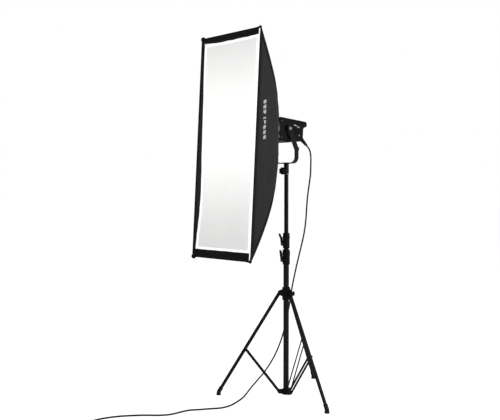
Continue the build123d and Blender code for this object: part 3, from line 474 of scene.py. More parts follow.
PRINT = coated("light_grey_print", (0.62, 0.62, 0.63), 0.42)
MARK = coated("pale_panel_print", (0.92, 0.92, 0.92), 0.5)
SCREEN = coated("display_window", (0.004, 0.004, 0.005), 0.08, 1.0)
GLASS = Look("cover_glass", (0.95, 0.98, 0.98), 0.05, Transmission_Weight=0.9, IOR=1.45)
GLASS.roughness(GLASS.span(GLASS.noise(40, 4, 0.6), 0.03, 0.12, 0.3, 0.7))
PHOSPHOR = coated("led_phosphor", (0.85, 0.62, 0.12), 0.4)
SEGMENTS = lit("display_segments", (0.35, 0.75, 1.0), 1.6)

CAD_LOOKS = {
    PAINT: "base_tube mid_tube top_tube leg_tube_a leg_tube_b leg_tube_c "
           "spreader_a spreader_b spreader_c receiver",
    YOKE_PAINT: "yoke mount_ring",
    PLASTIC: "lower_hub leg_hub lower_clamp upper_clamp lower_clamp_lever upper_clamp_lever hub_lock_knob "
             "receiver_knob tilt_knob leg_bracket_a leg_bracket_b leg_bracket_c fan_frame fan_rotor "
             "cord_connector dimmer_dial",
    CASE: "front_housing rear_housing top_cover",
    GREY_PLASTIC: "belly_cover mode_button",
    PANEL: "control_panel power_switch",
    SCREEN: "display",
    STEEL: "spigot mount_latch",
    PIVOT_CAP: "pivot_bolt",
    ALUMINIUM: "heat_sink speedring",
    SPRING_STEEL: "rods",
    RUBBER: "foot_a foot_b foot_c strain_relief",
    GLASS.material: "front_glass",
    PHOSPHOR: "led_module",
}
for material, names in CAD_LOOKS.items():
    for name in names.split():
        nodes[name].data.materials.clear()
        nodes[name].data.materials.append(material)


# ---------------------------------------------------------------- mesh helpers
def make(name, points, faces, material, body=None, slot=None, uv=None, smooth=True):
    """A mesh object that rides on body; uv holds one pair for each point."""
    mesh = bpy.data.meshes.new(name)
    mesh.from_pydata([tuple(p) for p in points], [], faces)
    mesh.materials.append(material)
    mesh.polygons.foreach_set("use_smooth", [smooth] * len(mesh.polygons))
    if uv is not None:
        layer = mesh.uv_layers.new(name="threads")
        for loop in mesh.loops:
            layer.data[loop.index].uv = uv[loop.vertex_index]
    mesh.update()
    obj = bpy.data.objects.new(name, mesh)
    scene.collection.objects.link(obj)
    if body:
        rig.ride(obj, body)
    if slot:
        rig.slot(obj, slot)
    return obj


def grid(rows, columns, point, closed=False):
    """Points and faces of rows by columns of point(u, v)."""
    points = [point(i / (rows - 1), j / (columns if closed else columns - 1))
              for i in range(rows) for j in range(columns)]
    faces = []
    for i in range(rows - 1):
        for j in range(columns if closed else columns - 1):
            k = (j + 1) % columns
            faces.append((i * columns + j, i * columns + k, (i + 1) * columns + k, (i + 1) * columns + j))
    return points, faces


def frames_along(path):
    """Tangent, side and up at each point of a path, carried along without twist."""
    tangents = []
    for i in range(len(path)):
        ahead = path[min(i + 1, len(path) - 1)] - path[max(i - 1, 0)]
        tangents.append(ahead.normalized())
    side = tangents[0].orthogonal().normalized()
    frames = []
    for tangent in tangents:
        side = (side - tangent * side.dot(tangent)).normalized()
        frames.append((tangent, side, tangent.cross(side)))
    return frames


def tube(path, radius, sides=12, profile=None):
    """Points and faces of a closed tube along path; profile gives (across, up) factors."""
    ring = profile or [(math.cos(2 * math.pi * k / sides), math.sin(2 * math.pi * k / sides))
                       for k in range(sides)]
    sides = len(ring)
    points = []
    for i, (place, (tangent, side, up)) in enumerate(zip(path, frames_along(path))):
        size = radius(i / (len(path) - 1)) if callable(radius) else radius
        points += [place + side * (a * size) + up * (b * size) for a, b in ring]
    faces = []
    for i in range(len(path) - 1):
        for k in range(sides):
            n = (k + 1) % sides
            faces.append((i * sides + k, i * sides + n, (i + 1) * sides + n, (i + 1) * sides + k))
    faces.append(tuple(reversed(range(sides))))
    faces.append(tuple(range(len(points) - sides, len(points))))
    return points, faces


def merge(*parts):
    """One list of points and faces from several."""
    points, faces = [], []
    for more_points, more_faces in parts:
        start = len(points)
        points += list(more_points)
        faces += [tuple(start + k for k in face) for face in more_faces]
    return points, faces


def turned(centre, axis, outline, sides=32):
    """A turned solid: outline holds (radius, distance along axis), from end to end."""
    axis = axis.normalized()
    across = axis.orthogonal().normalized()
    other = axis.cross(across)
    points, faces = [], []
    for r, along in outline:
        for k in range(sides):
            a = 2 * math.pi * k / sides
            points.append(centre + axis * along + (across * math.cos(a) + other * math.sin(a)) * r)
    for i in range(len(outline) - 1):
        for k in range(sides):
            n = (k + 1) % sides
            faces.append((i * sides + k, i * sides + n, (i + 1) * sides + n, (i + 1) * sides + k))
    faces.append(tuple(reversed(range(sides))))
    faces.append(tuple(range(len(points) - sides, len(points))))
    return points, faces


# ---------------------------------------------------------------- camera, floor and light
def camera():
    data = bpy.data.cameras.new("camera")
    data.lens = 50
    data.sensor_width = 36
    obj = bpy.data.objects.new("camera", data)
    obj.location = (2.3936, -2.7445, 1.1103)
    obj.rotation_euler = (math.radians(88.217), 0, math.radians(44.03))
    scene.collection.objects.link(obj)
    scene.camera = obj


def floor():
    """Pale paper sweep: it glows a little where it is seen, so that its far edge fades into the backdrop."""
    look = Look("floor_paper", (0.93, 0.93, 0.93), 0.85, Specular_IOR_Level=0.1, Emission_Color=(1, 1, 1, 1))
    look.color(look.ramp(look.noise(3, 3), (0.92, 0.92, 0.92), (0.95, 0.95, 0.95)))
    seen = look.add("LightPath").outputs["Is Camera Ray"]
    look.link(look.span(seen, 0.03, 0.86), look.shader.inputs["Emission Strength"])
    reach = 60
    obj = make("floor", [(-reach, -reach, 0), (reach, -reach, 0), (reach, reach, 0), (-reach, reach, 0)],
               [(0, 1, 2, 3)], look.material)
    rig.stage(obj)


def area_light(name, place, target, size, power):
    data = bpy.data.lights.new(name, "AREA")
    data.shape = "RECTANGLE"
    data.size, data.size_y = size
    data.energy = power
    obj = bpy.data.objects.new(name, data)
    obj.location = place
    obj.rotation_euler = (Vector(target) - Vector(place)).to_track_quat("-Z", "Y").to_euler()
    scene.collection.objects.link(obj)
    obj.visible_camera = False


def light():
    world = bpy.data.worlds.new("studio")
    scene.world = world
    world.use_nodes = True
    tree = world.node_tree
    background = tree.nodes["Background"]
    background.inputs["Color"].default_value = (1, 1, 1, 1)
    rays = tree.nodes.new("ShaderNodeLightPath")
    seen = tree.nodes.new("ShaderNodeMapRange")     # white where it is seen, dimmer as a light
    seen.inputs["To Min"].default_value = 0.16
    seen.inputs["To Max"].default_value = 1.0
    tree.links.new(rays.outputs["Is Camera Ray"], seen.inputs["Value"])
    tree.links.new(seen.outputs["Result"], background.inputs["Strength"])
    area_light("key", (3.2, -3.4, 3.4), (0, 0, 1.1), (2.2, 2.2), 34)
    area_light("side", (3.6, 1.6, 1.9), (0, -0.2, 1.2), (1.0, 2.6), 34)
    area_light("overhead", (0, 0, 5.0), (0, 0, 0), (4, 4), 40)
    scene.view_settings.view_transform = "Standard"


camera()
floor()
light()

# ---------------------------------------------------------------- power cord
# control points of the route, measured from the column's axis at the floor
ROUTE = (
    ((0.040, 0.118, 1.344), (0.040, 0.139, 1.329517), (0.039, 0.154, 1.308), (0.037, 0.162, 1.276),
     (0.033, 0.165, 1.234)),
    ((0.0305, 0.1675, 1.192), (0.026, 0.163, 1.142), (0.019, 0.157, 1.078)),
    ((0.015, 0.153, 1.010), (0.011, 0.152, 0.935), (0.004, 0.145, 0.862), (-0.008, 0.134, 0.790),
     (-0.021, 0.120, 0.712), (-0.033, 0.108, 0.634)),
    ((-0.044, 0.098, 0.560), (-0.052, 0.091, 0.484), (-0.060, 0.080, 0.410)),
    ((-0.071, 0.069, 0.338), (-0.086, 0.055, 0.268), (-0.106, 0.037, 0.200), (-0.130, 0.014, 0.139),
     (-0.156, -0.013, 0.086), (-0.180, -0.046, 0.042), (-0.182, -0.092, 0.012),
     (-0.152, -0.150, 0.00435), (-0.115, -0.212, 0.00435), (-0.088, -0.282, 0.00435),
     (-0.066, -0.352, 0.00435), (-0.070, -0.412, 0.00435), (-0.104, -0.458, 0.00435),
     (-0.134, -0.508, 0.00435), (-0.166, -0.548, 0.00435), (-0.172, -0.606, 0.00435),
     (-0.178, -0.660, 0.00435), (-0.212, -0.706, 0.00435), (-0.256, -0.742, 0.00435),
     (-0.298, -0.790, 0.00435), (-0.336, -0.842, 0.00435), (-0.362, -0.898, 0.00435),
     (-0.374, -0.952, 0.00435), (-0.373, -1.009, 0.00435), (-0.368, -1.066, 0.00435)),
)
CORD_BODIES = (("lamp", "yoke"), ("yoke", "top"), ("top", "mid"), ("mid", "base"), ("base",))
PLUG_CORD_END = COIL_MID + Vector((0.038, -0.066, 0.011))


def coil_points():
    """Turns wound inwards on the floor, rolled up at the middle, then outwards on top."""
    per_turn = 16
    across = COIL_TURNS_ACROSS - 1
    outer = COIL_INNER + across * CORD_D
    last = 2 * across + 1
    floor_z = CORD_D / 2 + 0.0001
    points = []
    for k in range(1, int((last + 0.25) * per_turn) + 1):
        turns = k / per_turn
        if turns <= across:
            r, z = outer - CORD_D * turns, floor_z
        elif turns <= across + 1:
            beside = CORD_D * (across + 1 - turns)
            r, z = COIL_INNER, floor_z + math.sqrt(CORD_D ** 2 - beside ** 2)
        else:
            r, z = COIL_INNER + CORD_D * (turns - across - 1), floor_z + CORD_D
        angle = math.pi + 2 * math.pi * turns
        r /= 0.75 + 0.25 * math.cos(2 * math.pi / per_turn)
        points.append(COIL_MID + Vector((r * math.cos(angle), r * math.sin(angle), z)))
    return points


def route_points():
    points = [COLUMN + Vector(p) for length in ROUTE for p in length]
    points += coil_points()
    points += [PLUG_CORD_END - Vector((0.014, 0, 0)), PLUG_CORD_END]
    return points


def spline_path(points):
    """The points that a NURBS spline through the route passes, closely spaced."""
    curve = bpy.data.curves.new("cord_route", "CURVE")
    curve.dimensions = "3D"
    curve.resolution_u = 8
    spline = curve.splines.new("NURBS")
    spline.points.add(len(points) - 1)
    for target, place in zip(spline.points, points):
        target.co = (*place, 1)
    spline.order_u = 3
    spline.use_endpoint_u = True
    obj = bpy.data.objects.new("cord_route", curve)
    mesh = bpy.data.meshes.new_from_object(obj)
    path = [vertex.co.copy() for vertex in mesh.vertices]
    bpy.data.objects.remove(obj)
    return path


def path_length(path):
    return sum((b - a).length for a, b in zip(path, path[1:]))


def power_cord():
    path = spline_path(route_points())
    cuts = [0]
    for upper, lower in zip(ROUTE, ROUTE[1:]):
        middle = COLUMN + (Vector(upper[-1]) + Vector(lower[0])) / 2
        cuts.append(min(range(len(path)), key=lambda i: (path[i] - middle).length))
    cuts.append(len(path) - 1)
    plug = mains_plug()
    lengths = []
    for k, bodies in enumerate(CORD_BODIES):
        stretch = path[cuts[k]:cuts[k + 1] + 1]
        last = k == len(CORD_BODIES) - 1
        points, faces = tube(stretch, CORD_D / 2, 14 if last else 16)
        piece = make("power_cord_" + str(k + 1), points, faces, JACKET, None, "rubber")
        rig.replaces(piece, "cord_" + str(k + 1), *(["cord_coil"] if last else []))
        if last:
            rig.ride(piece, bodies[0])
        else:
            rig.blend(piece, *bodies, start=stretch[0], end=stretch[-1])
        length = path_length(stretch)
        lengths.append(length)
        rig.cord(piece, exit=stretch[0], length=length, diameter=CORD_D,
                far_end="plug" if last else "object", stiffness="medium", lay="loose" if last else "hanging",
                path=stretch, with_pieces=[plug] if last else [])
    print("cord lengths", [round(x, 3) for x in lengths], "total", round(sum(lengths), 3))


def mains_plug():
    """Moulded two-pin plug lying beside the coil: body with grip ribs, ribbed relief, two steel pins."""
    seat = COIL_MID + Vector((0.079, -0.066, 0.011))
    parts = []
    half_length, half_width, half_height = 0.022, 0.013, 0.011

    def body_point(u, v):
        along = -math.cos(math.pi * u)
        ease = (1 - abs(along) ** 6) ** 0.5
        waist = 1 - 0.16 * math.exp(-((u - 0.36) / 0.16) ** 2)
        rib = 1 - 0.035 * (math.cos(2 * math.pi * u * 11) > 0.2) * (0.15 < u < 0.55)
        a = 2 * math.pi * v
        c, s = math.cos(a), math.sin(a)
        size = ease * waist * rib
        return seat + Vector((along * half_length, math.copysign(abs(c) ** 0.55, c) * half_width * size,
                              math.copysign(abs(s) ** 0.55, s) * half_height * size))

    parts.append(grid(44, 40, body_point, closed=True))
    neck = seat - Vector((half_length - 0.002, 0, 0))
    outline = [(0.0066, 0), (0.0064, 0.002)]
    for k in range(5):
        start = 0.003 + 0.0032 * k
        outer = 0.0062 - 0.0004 * k
        outline += [(outer, start), (outer, start + 0.0018), (outer - 0.0012, start + 0.002),
                    (outer - 0.0012, start + 0.0030)]
    outline += [(0.0040, 0.0190), (0.0036, 0.0195)]
    parts.append(turned(neck, Vector((-1, 0, 0)), outline, 24))
    body = make("mains_plug_body", *merge(*parts), PLASTIC, "base", "plastic")
    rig.replaces(body, "mains_plug")
    pins = [turned(seat + Vector((half_length - 0.002, side * 0.00635, 0)), Vector((1, 0, 0)),
                   [(0.0024, 0), (0.0024, 0.018), (0.0021, 0.0195), (0.0012, 0.0205)], 20)
            for side in (-1, 1)]
    pins = make("mains_plug_pins", *merge(*pins), STEEL, "base", "steel")
    pins.parent = body
    return body


power_cord()


# ---------------------------------------------------------------- softbox
def section(depth):
    """Outer cloth at a depth behind the front edge: lower half width, low, upper half width, high."""
    share = max(0.0, 1 - depth / SOFTBOX_DEPTH)
    up = share ** BULGE_UP
    down = share ** BULGE_DOWN
    low = RING_UP - REAR_HALF_H - (SOFTBOX_H / 2 + RING_UP - REAR_HALF_H) * down
    high = RING_UP + REAR_HALF_H + (SOFTBOX_H / 2 - RING_UP - REAR_HALF_H) * up
    lower = REAR_HALF_W + (SOFTBOX_W / 2 - REAR_HALF_W) * down
    upper = REAR_HALF_W + (SOFTBOX_W / 2 - REAR_HALF_W) * up
    return lower, low, upper, high


def corners(depth):
    """The four rod lines at a depth, counter-clockwise from the lower left, seen from the front."""
    wide, low, narrow, high = section(min(depth, 0.282))
    if depth > 0.282:
        share = (depth - 0.282) / (RING_DEPTH - 0.282)
        wide += (RING_HALF - wide) * share
        narrow += (RING_HALF - narrow) * share
        low += (RING_UP - RING_HALF - low) * share
        high += (RING_UP + RING_HALF - high) * share
    slack = FAR_SLACK * max(0.0, 1 - depth / 0.2)
    return [Vector((-wide - slack, low)), Vector((wide, low)),
            Vector((narrow, high)), Vector((-narrow - slack, high))]


def corner_radius(depth):
    share = depth / RING_DEPTH
    return 0.004 + 0.004 * min(1, share * 3) + 0.047 * max(0, (share - 0.62) / 0.38) ** 2.2


FOLDS = (-0.36, -0.13, 0.13, 0.40)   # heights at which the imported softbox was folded


def cloth_relief(across, up, depth, side):
    """How far the stretched cloth stands in (-) or out (+) at a place on one side panel."""
    tall = side in (1, 3)
    span = math.sin(math.pi * min(1, depth / RING_DEPTH))
    pull = -(0.0065 if tall else 0.0040) * span * 4 * across * (1 - across)
    place = Vector((across * 2.0, up * 3.0 + side * 7, depth * 6))
    slack = 0.0024 * noise.noise(place * 1.7) * min(1, 4 * across * (1 - across) * 1.6)
    fine = 0.0007 * noise.noise(place * 9.0)
    fold = 0.0
    if tall:
        for height in FOLDS:
            wander = height + 0.012 * noise.noise(Vector((depth * 9, height * 11, side)))
            fold += 0.0016 * math.exp(-((up - wander) / 0.006) ** 2)
            fold -= 0.0010 * math.exp(-((up - wander - 0.014) / 0.008) ** 2)
    near_ring = max(0.0, (depth - 0.235) / (RING_DEPTH - 0.235))
    gather = 0.0020 * near_ring * math.sin(2 * math.pi * 11 * across + side) * (1 - 0.6 * near_ring)
    return pull + slack + fine + fold * min(1, depth / 0.03) + gather


def section_point(depth, v, lift=0.0, relief=True):
    """The cloth at a depth, v from 0 to 1 round the section from the lower left corner."""
    corner = corners(depth)
    radius = corner_radius(depth)
    side = int(v * 4) % 4
    across = v * 4 - int(v * 4)
    a, b = corner[side], corner[(side + 1) % 4]
    along = (b - a).normalized()
    inward = Vector((-along.y, along.x))
    length = (b - a).length
    reach = across * length
    flat = a + along * reach
    # corners are rounded off within their radius
    for end in (reach, length - reach):
        if end < radius:
            flat += inward * (radius * (1 - math.sqrt(max(0.0, 1 - (1 - end / radius) ** 2))))
    amount = lift
    if relief:
        amount += cloth_relief(across, flat.y, depth, side)
    flat -= inward * amount
    return softbox_at(flat.x, flat.y, depth - EDGE_AHEAD * (1 - depth / RING_DEPTH))


def depth_steps(count):
    """Depths that crowd together towards the ring, where the rods bend most."""
    return [RING_DEPTH * (1 - (1 - i / (count - 1)) ** 1.5) for i in range(count)]


def shell():
    rows, per_side = 96, 40
    depths = depth_steps(rows)
    warped = []
    for side in range(4):
        for k in range(per_side):
            t = k / per_side
            turn = 2 * math.pi
            eased = t + 0.11 * math.sin(4 * math.pi * t) / turn - 0.55 * math.sin(2 * math.pi * t) / turn
            warped.append((side + eased) / 4)
    points, uv = [], []
    for i, depth in enumerate(depths):
        around = 0.0
        before = None
        for v in warped:
            place = section_point(depth, v)
            around += (place - before).length if before else 0.0
            before = place
            points.append(place)
            uv.append((around, depth * 1.25))
    columns = len(warped)
    faces = [(i * columns + j, (i + 1) * columns + j,
              (i + 1) * columns + (j + 1) % columns, i * columns + (j + 1) % columns)
             for i in range(rows - 1) for j in range(columns)]
    obj = make("softbox_cloth", points, faces, CLOTH, "softbox", "black_fabric", uv)
    obj.data.materials.append(LINING)
    wall = obj.modifiers.new("cloth", "SOLIDIFY")
    wall.thickness = 0.0012
    wall.offset = -1
    wall.material_offset = 1
    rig.replaces(obj, "softbox_shell")


def band(name, stations, width_points, material, thickness, slot="black_fabric"):
    """A sewn strip: stations along it, each with the points across it."""
    rows, columns = len(stations), len(width_points)
    points, uv, along, before = [], [], 0.0, None
    for station in stations:
        line = [station(w) for w in width_points]
        along += (line[0] - before).length if before else 0.0
        before = line[0]
        points += line
        uv += [((p - line[0]).length, along) for p in line]
    faces = [(i * columns + j, i * columns + j + 1, (i + 1) * columns + j + 1, (i + 1) * columns + j)
             for i in range(rows - 1) for j in range(columns - 1)]
    obj = make(name, points, faces, material, "softbox", slot, uv)
    solid = obj.modifiers.new("thickness", "SOLIDIFY")
    solid.thickness = thickness
    solid.offset = 0
    return obj


def rod_line(index, depth, lift=0.0):
    """A place on a rod's edge, lifted outwards along the corner's diagonal."""
    corner = corners(depth)[index]
    radius = corner_radius(depth)
    sx = -1 if index in (0, 3) else 1
    sy = -1 if index in (0, 1) else 1
    inset = radius * (1 - math.sqrt(0.5))
    back = depth - EDGE_AHEAD * (1 - depth / RING_DEPTH)
    return softbox_at(corner.x - sx * (inset - lift * 0.7), corner.y - sy * (inset - lift * 0.7), back)


def rod_sleeves():
    """Piping along the four rod edges, and the sewn sleeve beside it on both panels."""
    parts, stitches = [], []
    for index in range(4):
        path = [rod_line(index, depth, 0.0008) for depth in depth_steps(70)[:-3]]
        parts.append(tube(path, lambda t: 0.0044 - 0.0014 * t, 12))
    make("rod_sleeve_piping", *merge(*parts), BINDING, "softbox", "black_fabric")
    SLEEVE = 0.026
    for index in range(4):
        for direction in (-1, 1):
            stations = []
            for depth in depth_steps(70)[:-6]:
                side = index if direction > 0 else (index - 1) % 4
                corner = corners(depth)
                length = (corner[(side + 1) % 4] - corner[side]).length

                def station(w, depth=depth, side=side, length=length):
                    share = min(0.5, (0.002 + w * SLEEVE * (1 - 0.45 * depth / RING_DEPTH)) / length)
                    v = (side + (share if direction > 0 else 1 - share - 1e-6)) / 4
                    lift = 0.0011 + 0.0016 * math.sin(math.pi * min(1, w))
                    return section_point(depth, v, lift)
                stations.append(station)
            name = "rod_sleeve_" + "abcd"[index] + ("_right" if direction > 0 else "_left")
            band(name, stations, [0, 0.12, 0.3, 0.5, 0.7, 0.88, 1.0], SLEEVE_CLOTH, 0.0008)
            stitches.append([station(0.9) for station in stations])
    stitch_rows("sleeve_stitches", stitches, 0.0011)


def stitch_rows(name, lines, lift):
    """Short raised stitches, evenly spaced along each line."""
    parts = []
    pitch, length, radius = 0.0048, 0.0033, 0.00042
    for line in lines:
        travelled = 0.0
        for a, b in zip(line, line[1:]):
            step = (b - a).length
            while travelled < step:
                start = a.lerp(b, travelled / step)
                finish = a.lerp(b, min(1.0, (travelled + length) / step))
                if (finish - start).length > length * 0.5:
                    middle = (start + finish) / 2
                    parts.append(tube([start, middle, finish],
                                      lambda t: radius * (0.7 + 1.2 * t * (1 - t)), 5))
                travelled += pitch
            travelled -= step
    make(name, *merge(*parts), THREAD, "softbox", "black_fabric")


def front_binding():
    """Webbing folded over the front edge, with a seam and a hem line behind it."""
    stations = []
    places = [(side + t / 40) / 4 for side in range(4) for t in range(40)] + [0.0]
    profile = [(0.0225, 0.0009), (0.0160, 0.0014), (0.0080, 0.0017), (0.0030, 0.0019), (0.0004, 0.0014),
               (-0.0012, 0.0002), (-0.0006, -0.0016), (0.0010, -0.0026), (0.0060, -0.0028)]

    def at(v, k):
        depth, lift = profile[k]
        return section_point(max(depth, 0.0), v % 1.0, lift, relief=False) + AHEAD * (-min(depth, 0.0))
    for v in places:
        stations.append(lambda k, v=v: at(v, k))
    band("front_binding", stations, list(range(len(profile))), BINDING, 0.0010)
    around = [(side + t / 60) / 4 for side in range(4) for t in range(60)] + [0.99999]
    stitch_rows("front_stitches", [[section_point(0.0205, v, 0.0018, relief=False) for v in around],
                                   [section_point(0.0385, v, 0.0006) for v in around],
                                   [section_point(0.0415, v, 0.0006) for v in around]], 0.001)


shell()
rod_sleeves()
front_binding()


# ---------------------------------------------------------------- front of the softbox
RIM = 0.0030                # the lip is sewn in this far inside the front edge
NEAR_STRIP = 0.0140         # the diffuser comes forward to the edge on the cord's side
FACE_LEFT = LIP_SIDE - SOFTBOX_W / 2
FACE_RIGHT = SOFTBOX_W / 2 - 0.0060
FACE_LOW = LIP_BOTTOM - SOFTBOX_H / 2
FACE_HIGH = SOFTBOX_H / 2 - LIP_TOP
UNDER = 0.0045              # the diffuser runs on under the lip by this much
# how deep the diffuser's far edge lies, from its foot to its head
FAR_EDGE = ((-0.515, 0.0050), (-0.450, 0.0090), (-0.390, 0.0150), (-0.330, 0.0205), (-0.230, 0.0238),
            (-0.130, 0.0222), (-0.020, 0.0180), (0.110, 0.0152), (0.230, 0.0135), (0.350, 0.0095),
            (0.460, 0.0078), (0.530, 0.0080))


def eased(pairs, at):
    """The value at a place, eased between neighbouring (place, value) pairs."""
    for (a, low), (b, high) in zip(pairs, pairs[1:]):
        if at <= b:
            t = max(0.0, (at - a) / (b - a))
            return low + (high - low) * (3 * t * t - 2 * t ** 3)
    return pairs[-1][1]


def face_depth(x, up):
    """Depth of the diffuser's cloth: it sags back from a near edge that is pulled forward."""
    far, near = eased(FAR_EDGE, up), 0.0045
    t = min(1.0, max(0.0, (x - FACE_LEFT) / (FACE_RIGHT - FACE_LEFT)))
    rise = (up - FACE_LOW) / (FACE_HIGH - FACE_LOW)
    ends = min(1.0, max(0.0, min(rise, 1 - rise)) * 9)
    ends = 3 * ends ** 2 - 2 * ends ** 3
    level = far + (near - far) * t ** 1.6
    level += (0.0125 - level) * (1 - ends) * (1 - t) ** 0.4 * min(1, t * 6)
    sag = 0.0085 * math.sin(math.pi * min(1, t * 1.02)) * (0.25 + 0.75 * ends)
    edge = min(t, 1 - t, rise * 2.7, (1 - rise) * 2.7)
    pulls = 0.0011 * noise.noise(Vector((t * 26, rise * 5, 1.0))) * math.exp(-edge * 26)
    slack = 0.0016 * noise.noise(Vector((t * 2.2, rise * 4.5, 9.0)))
    return level + sag - (pulls + slack) * min(1.0, max(0.0, edge) * 30)


def lip_flap(name, outer, inner, across_range, seed, wave):
    """A stitched flap from the rim back to the diffuser; outer and inner give the place at a share."""
    rows, columns = 90, 13
    start, finish = across_range

    def station(u):
        share = start + (finish - start) * u

        def at(w):
            a, b = outer(share), inner(share)
            ripple = noise.noise(Vector((share * 7, w * 1.3, seed)))
            edge = noise.noise(Vector((share * 11, 4.0, seed))) * wave * w * w
            place = a.lerp(b, w) + AHEAD * (0.0016 * ripple * math.sin(math.pi * w))
            return place + (b - a).normalized() * edge
        return at
    stations = [station(i / (rows - 1)) for i in range(rows)]
    piece = band(name, stations, [k / (columns - 1) for k in range(columns)], SLEEVE_CLOTH, 0.0011)
    return piece, [[s(0.88) + AHEAD * 0.0008 for s in stations], [s(0.12) + AHEAD * 0.0008 for s in stations]]


def front_lip():
    x, y = SOFTBOX_W / 2 - RIM, SOFTBOX_H / 2 - RIM
    short = 1 - (NEAR_STRIP - RIM) / (2 * x)
    over = 0.0016

    def rim(across, up):
        return softbox_at(across, up, -EDGE_AHEAD + 0.0010)

    def on_face(across, up):
        return softbox_at(across, up, face_depth(across, up) - over)

    def head(t):
        across = FACE_LEFT + (FACE_RIGHT - FACE_LEFT) * t
        return on_face(across, FACE_HIGH + 0.0055 * math.exp(-(t / 0.16) ** 2))
    top, stitched = lip_flap("front_lip_top", lambda t: rim(-x + 2 * x * t, y), head,
                             (0.0, short), 3.1, 0.0022)
    _, lines = lip_flap("front_lip_bottom", lambda t: rim(-x + 2 * x * t, -y),
                        lambda t: on_face(FACE_LEFT + (FACE_RIGHT - FACE_LEFT) * t, FACE_LOW),
                         (0.0, short), 8.4, 0.0012)
    stitched += lines
    _, lines = lip_flap("front_lip_far", lambda t: rim(-x, -y + 2 * y * t),
                         lambda t: on_face(FACE_LEFT, FACE_LOW + (FACE_HIGH - FACE_LOW) * t),
                         (0.0, 1.0), 5.7, 0.0008)
    stitched += lines
    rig.replaces(top, "front_lip")
    stitch_rows("lip_stitches", stitched, 0.0009)


def diffusers():
    left, right = FACE_LEFT - UNDER, FACE_RIGHT + 0.0015
    low, high = FACE_LOW - UNDER, FACE_HIGH + UNDER + 0.004

    def front(u, v):
        x, up = left + (right - left) * v, low + (high - low) * u
        return softbox_at(x, up, face_depth(x, up))
    rows, columns = 170, 64
    points, faces = grid(rows, columns, front)
    uv = [(j / (columns - 1) * (right - left), i / (rows - 1) * (high - low))
          for i in range(rows) for j in range(columns)]
    sheet = make("front_diffuser_cloth", points, faces, FRONT_CLOTH, "softbox", "white_fabric", uv)
    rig.replaces(sheet, "front_diffuser")
    # hem sewn round it, doubled; its cloth carries a stronger painted glow, so it shows a little brighter
    hem = 0.0115
    ring = [(FACE_LEFT - 0.001, FACE_LOW - 0.001), (FACE_RIGHT - 0.012, FACE_LOW - 0.001),
            (FACE_RIGHT - 0.012, FACE_HIGH + 0.001), (FACE_LEFT - 0.001, FACE_HIGH + 0.001)]
    stations = []
    for side in range(4):
        a, b = Vector(ring[side]), Vector(ring[(side + 1) % 4])
        along = (b - a).normalized()
        inward = Vector((-along.y, along.x))
        for k in range(60):
            t = k / 59

            def station(w, a=a, b=b, t=t, along=along, inward=inward):
                start, finish = a + along * (hem * w), b - along * (hem * w)
                flat = start.lerp(finish, t) + inward * (hem * w)
                return softbox_at(flat.x, flat.y, face_depth(flat.x, flat.y) - 0.0009)
            stations.append(station)
    hem_piece = band("diffuser_hem", stations + stations[:1], [0, 0.33, 0.66, 1.0], HEM_CLOTH, 0.0006,
                     "white_fabric")
    # on the cord's side the white cloth runs forward to the edge in place of a black flap
    x, y = SOFTBOX_W / 2 - 0.0016, SOFTBOX_H / 2 - 0.0035
    profile = [(x, -EDGE_AHEAD + 0.0004), (x - 0.004, -EDGE_AHEAD + 0.0002), (x - 0.009, -0.0012),
               (x - NEAR_STRIP + 0.003, 0.0018), (x - NEAR_STRIP - 0.001, 0.0042)]
    stations = []
    for i in range(90):
        level = -y + 2 * y * i / 89
        wander = 0.0010 * noise.noise(Vector((i * 0.16, 2.2, 0)))
        stations.append(lambda k, level=level, wander=wander: softbox_at(
            profile[k][0] + wander * (k > 2), level, profile[k][1]))
    # the near edge takes the hem's stronger painted glow
    edge_piece = band("diffuser_near_edge", stations, list(range(len(profile))), HEM_CLOTH, 0.0006,
                      "white_fabric")
    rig.sheet(sheet, flat=(right - left, high - low), held="stretched", rests_on=["front_lip_far"],
             with_pieces=[hem_piece, edge_piece])
    # inner baffle that evens out the lamp's hot spot
    wide, bottom, narrow, top = section(0.120)
    half, low_in, high_in = narrow - 0.030, bottom + 0.030, top - 0.030

    def inner(u, v):
        sag = 0.004 * math.sin(math.pi * u) * math.sin(math.pi * v)
        sag += 0.002 * noise.noise(Vector((v * 4, u * 9, 3)))
        return softbox_at(half * (2 * v - 1), low_in + (high_in - low_in) * u, 0.1207 + sag)
    points, faces = grid(60, 24, inner)
    uv = [(2 * half * j / 23, (high_in - low_in) * i / 59) for i in range(60) for j in range(24)]
    # the baffle's cloth carries a weaker painted glow
    baffle = make("inner_baffle_cloth", points, faces, BAFFLE_CLOTH, "softbox", "white_fabric", uv)
    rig.replaces(baffle, "inner_diffuser")
    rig.sheet(baffle, flat=(2 * half, high_in - low_in), held="stretched", rests_on=["rods"])


def rod_pockets():
    """Padded caps sewn over the rod ends at the four front corners; the far pair is fuller."""
    shells, seams = [], []
    for sx, radius, ahead in ((-1, 0.0120, 0.0005), (1, 0.0078, 0.0030)):
        for sy in (-1, 1):
            middle = softbox_at(sx * 0.2000, sy * 0.5505, -ahead)
            axis = (SIDE * (sx * 0.35) + UP * (sy * 0.65) + AHEAD * 0.68).normalized()
            outline = []
            for k in range(24):
                a = math.pi * (0.02 + 0.90 * k / 23)
                puff = 1 + 0.05 * math.sin(5 * a)
                outline.append((radius * puff * math.sin(a), radius * 0.92 * math.cos(a)))
            shells.append(turned(middle, axis, outline, 32))
            across = axis.orthogonal().normalized()
            other = axis.cross(across)
            for a in (0.42 * math.pi, 0.70 * math.pi):
                size, along = radius * 1.03 * math.sin(a), radius * 0.92 * math.cos(a)
                seams.append([middle + axis * along + (across * math.cos(t) + other * math.sin(t)) * size
                              for t in [2 * math.pi * k / 40 for k in range(41)]])
    caps = make("rod_end_pockets", *merge(*shells), BINDING, "softbox", "black_fabric")
    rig.replaces(caps, "rod_pockets")
    stitch_rows("pocket_stitches", seams, 0.0005)


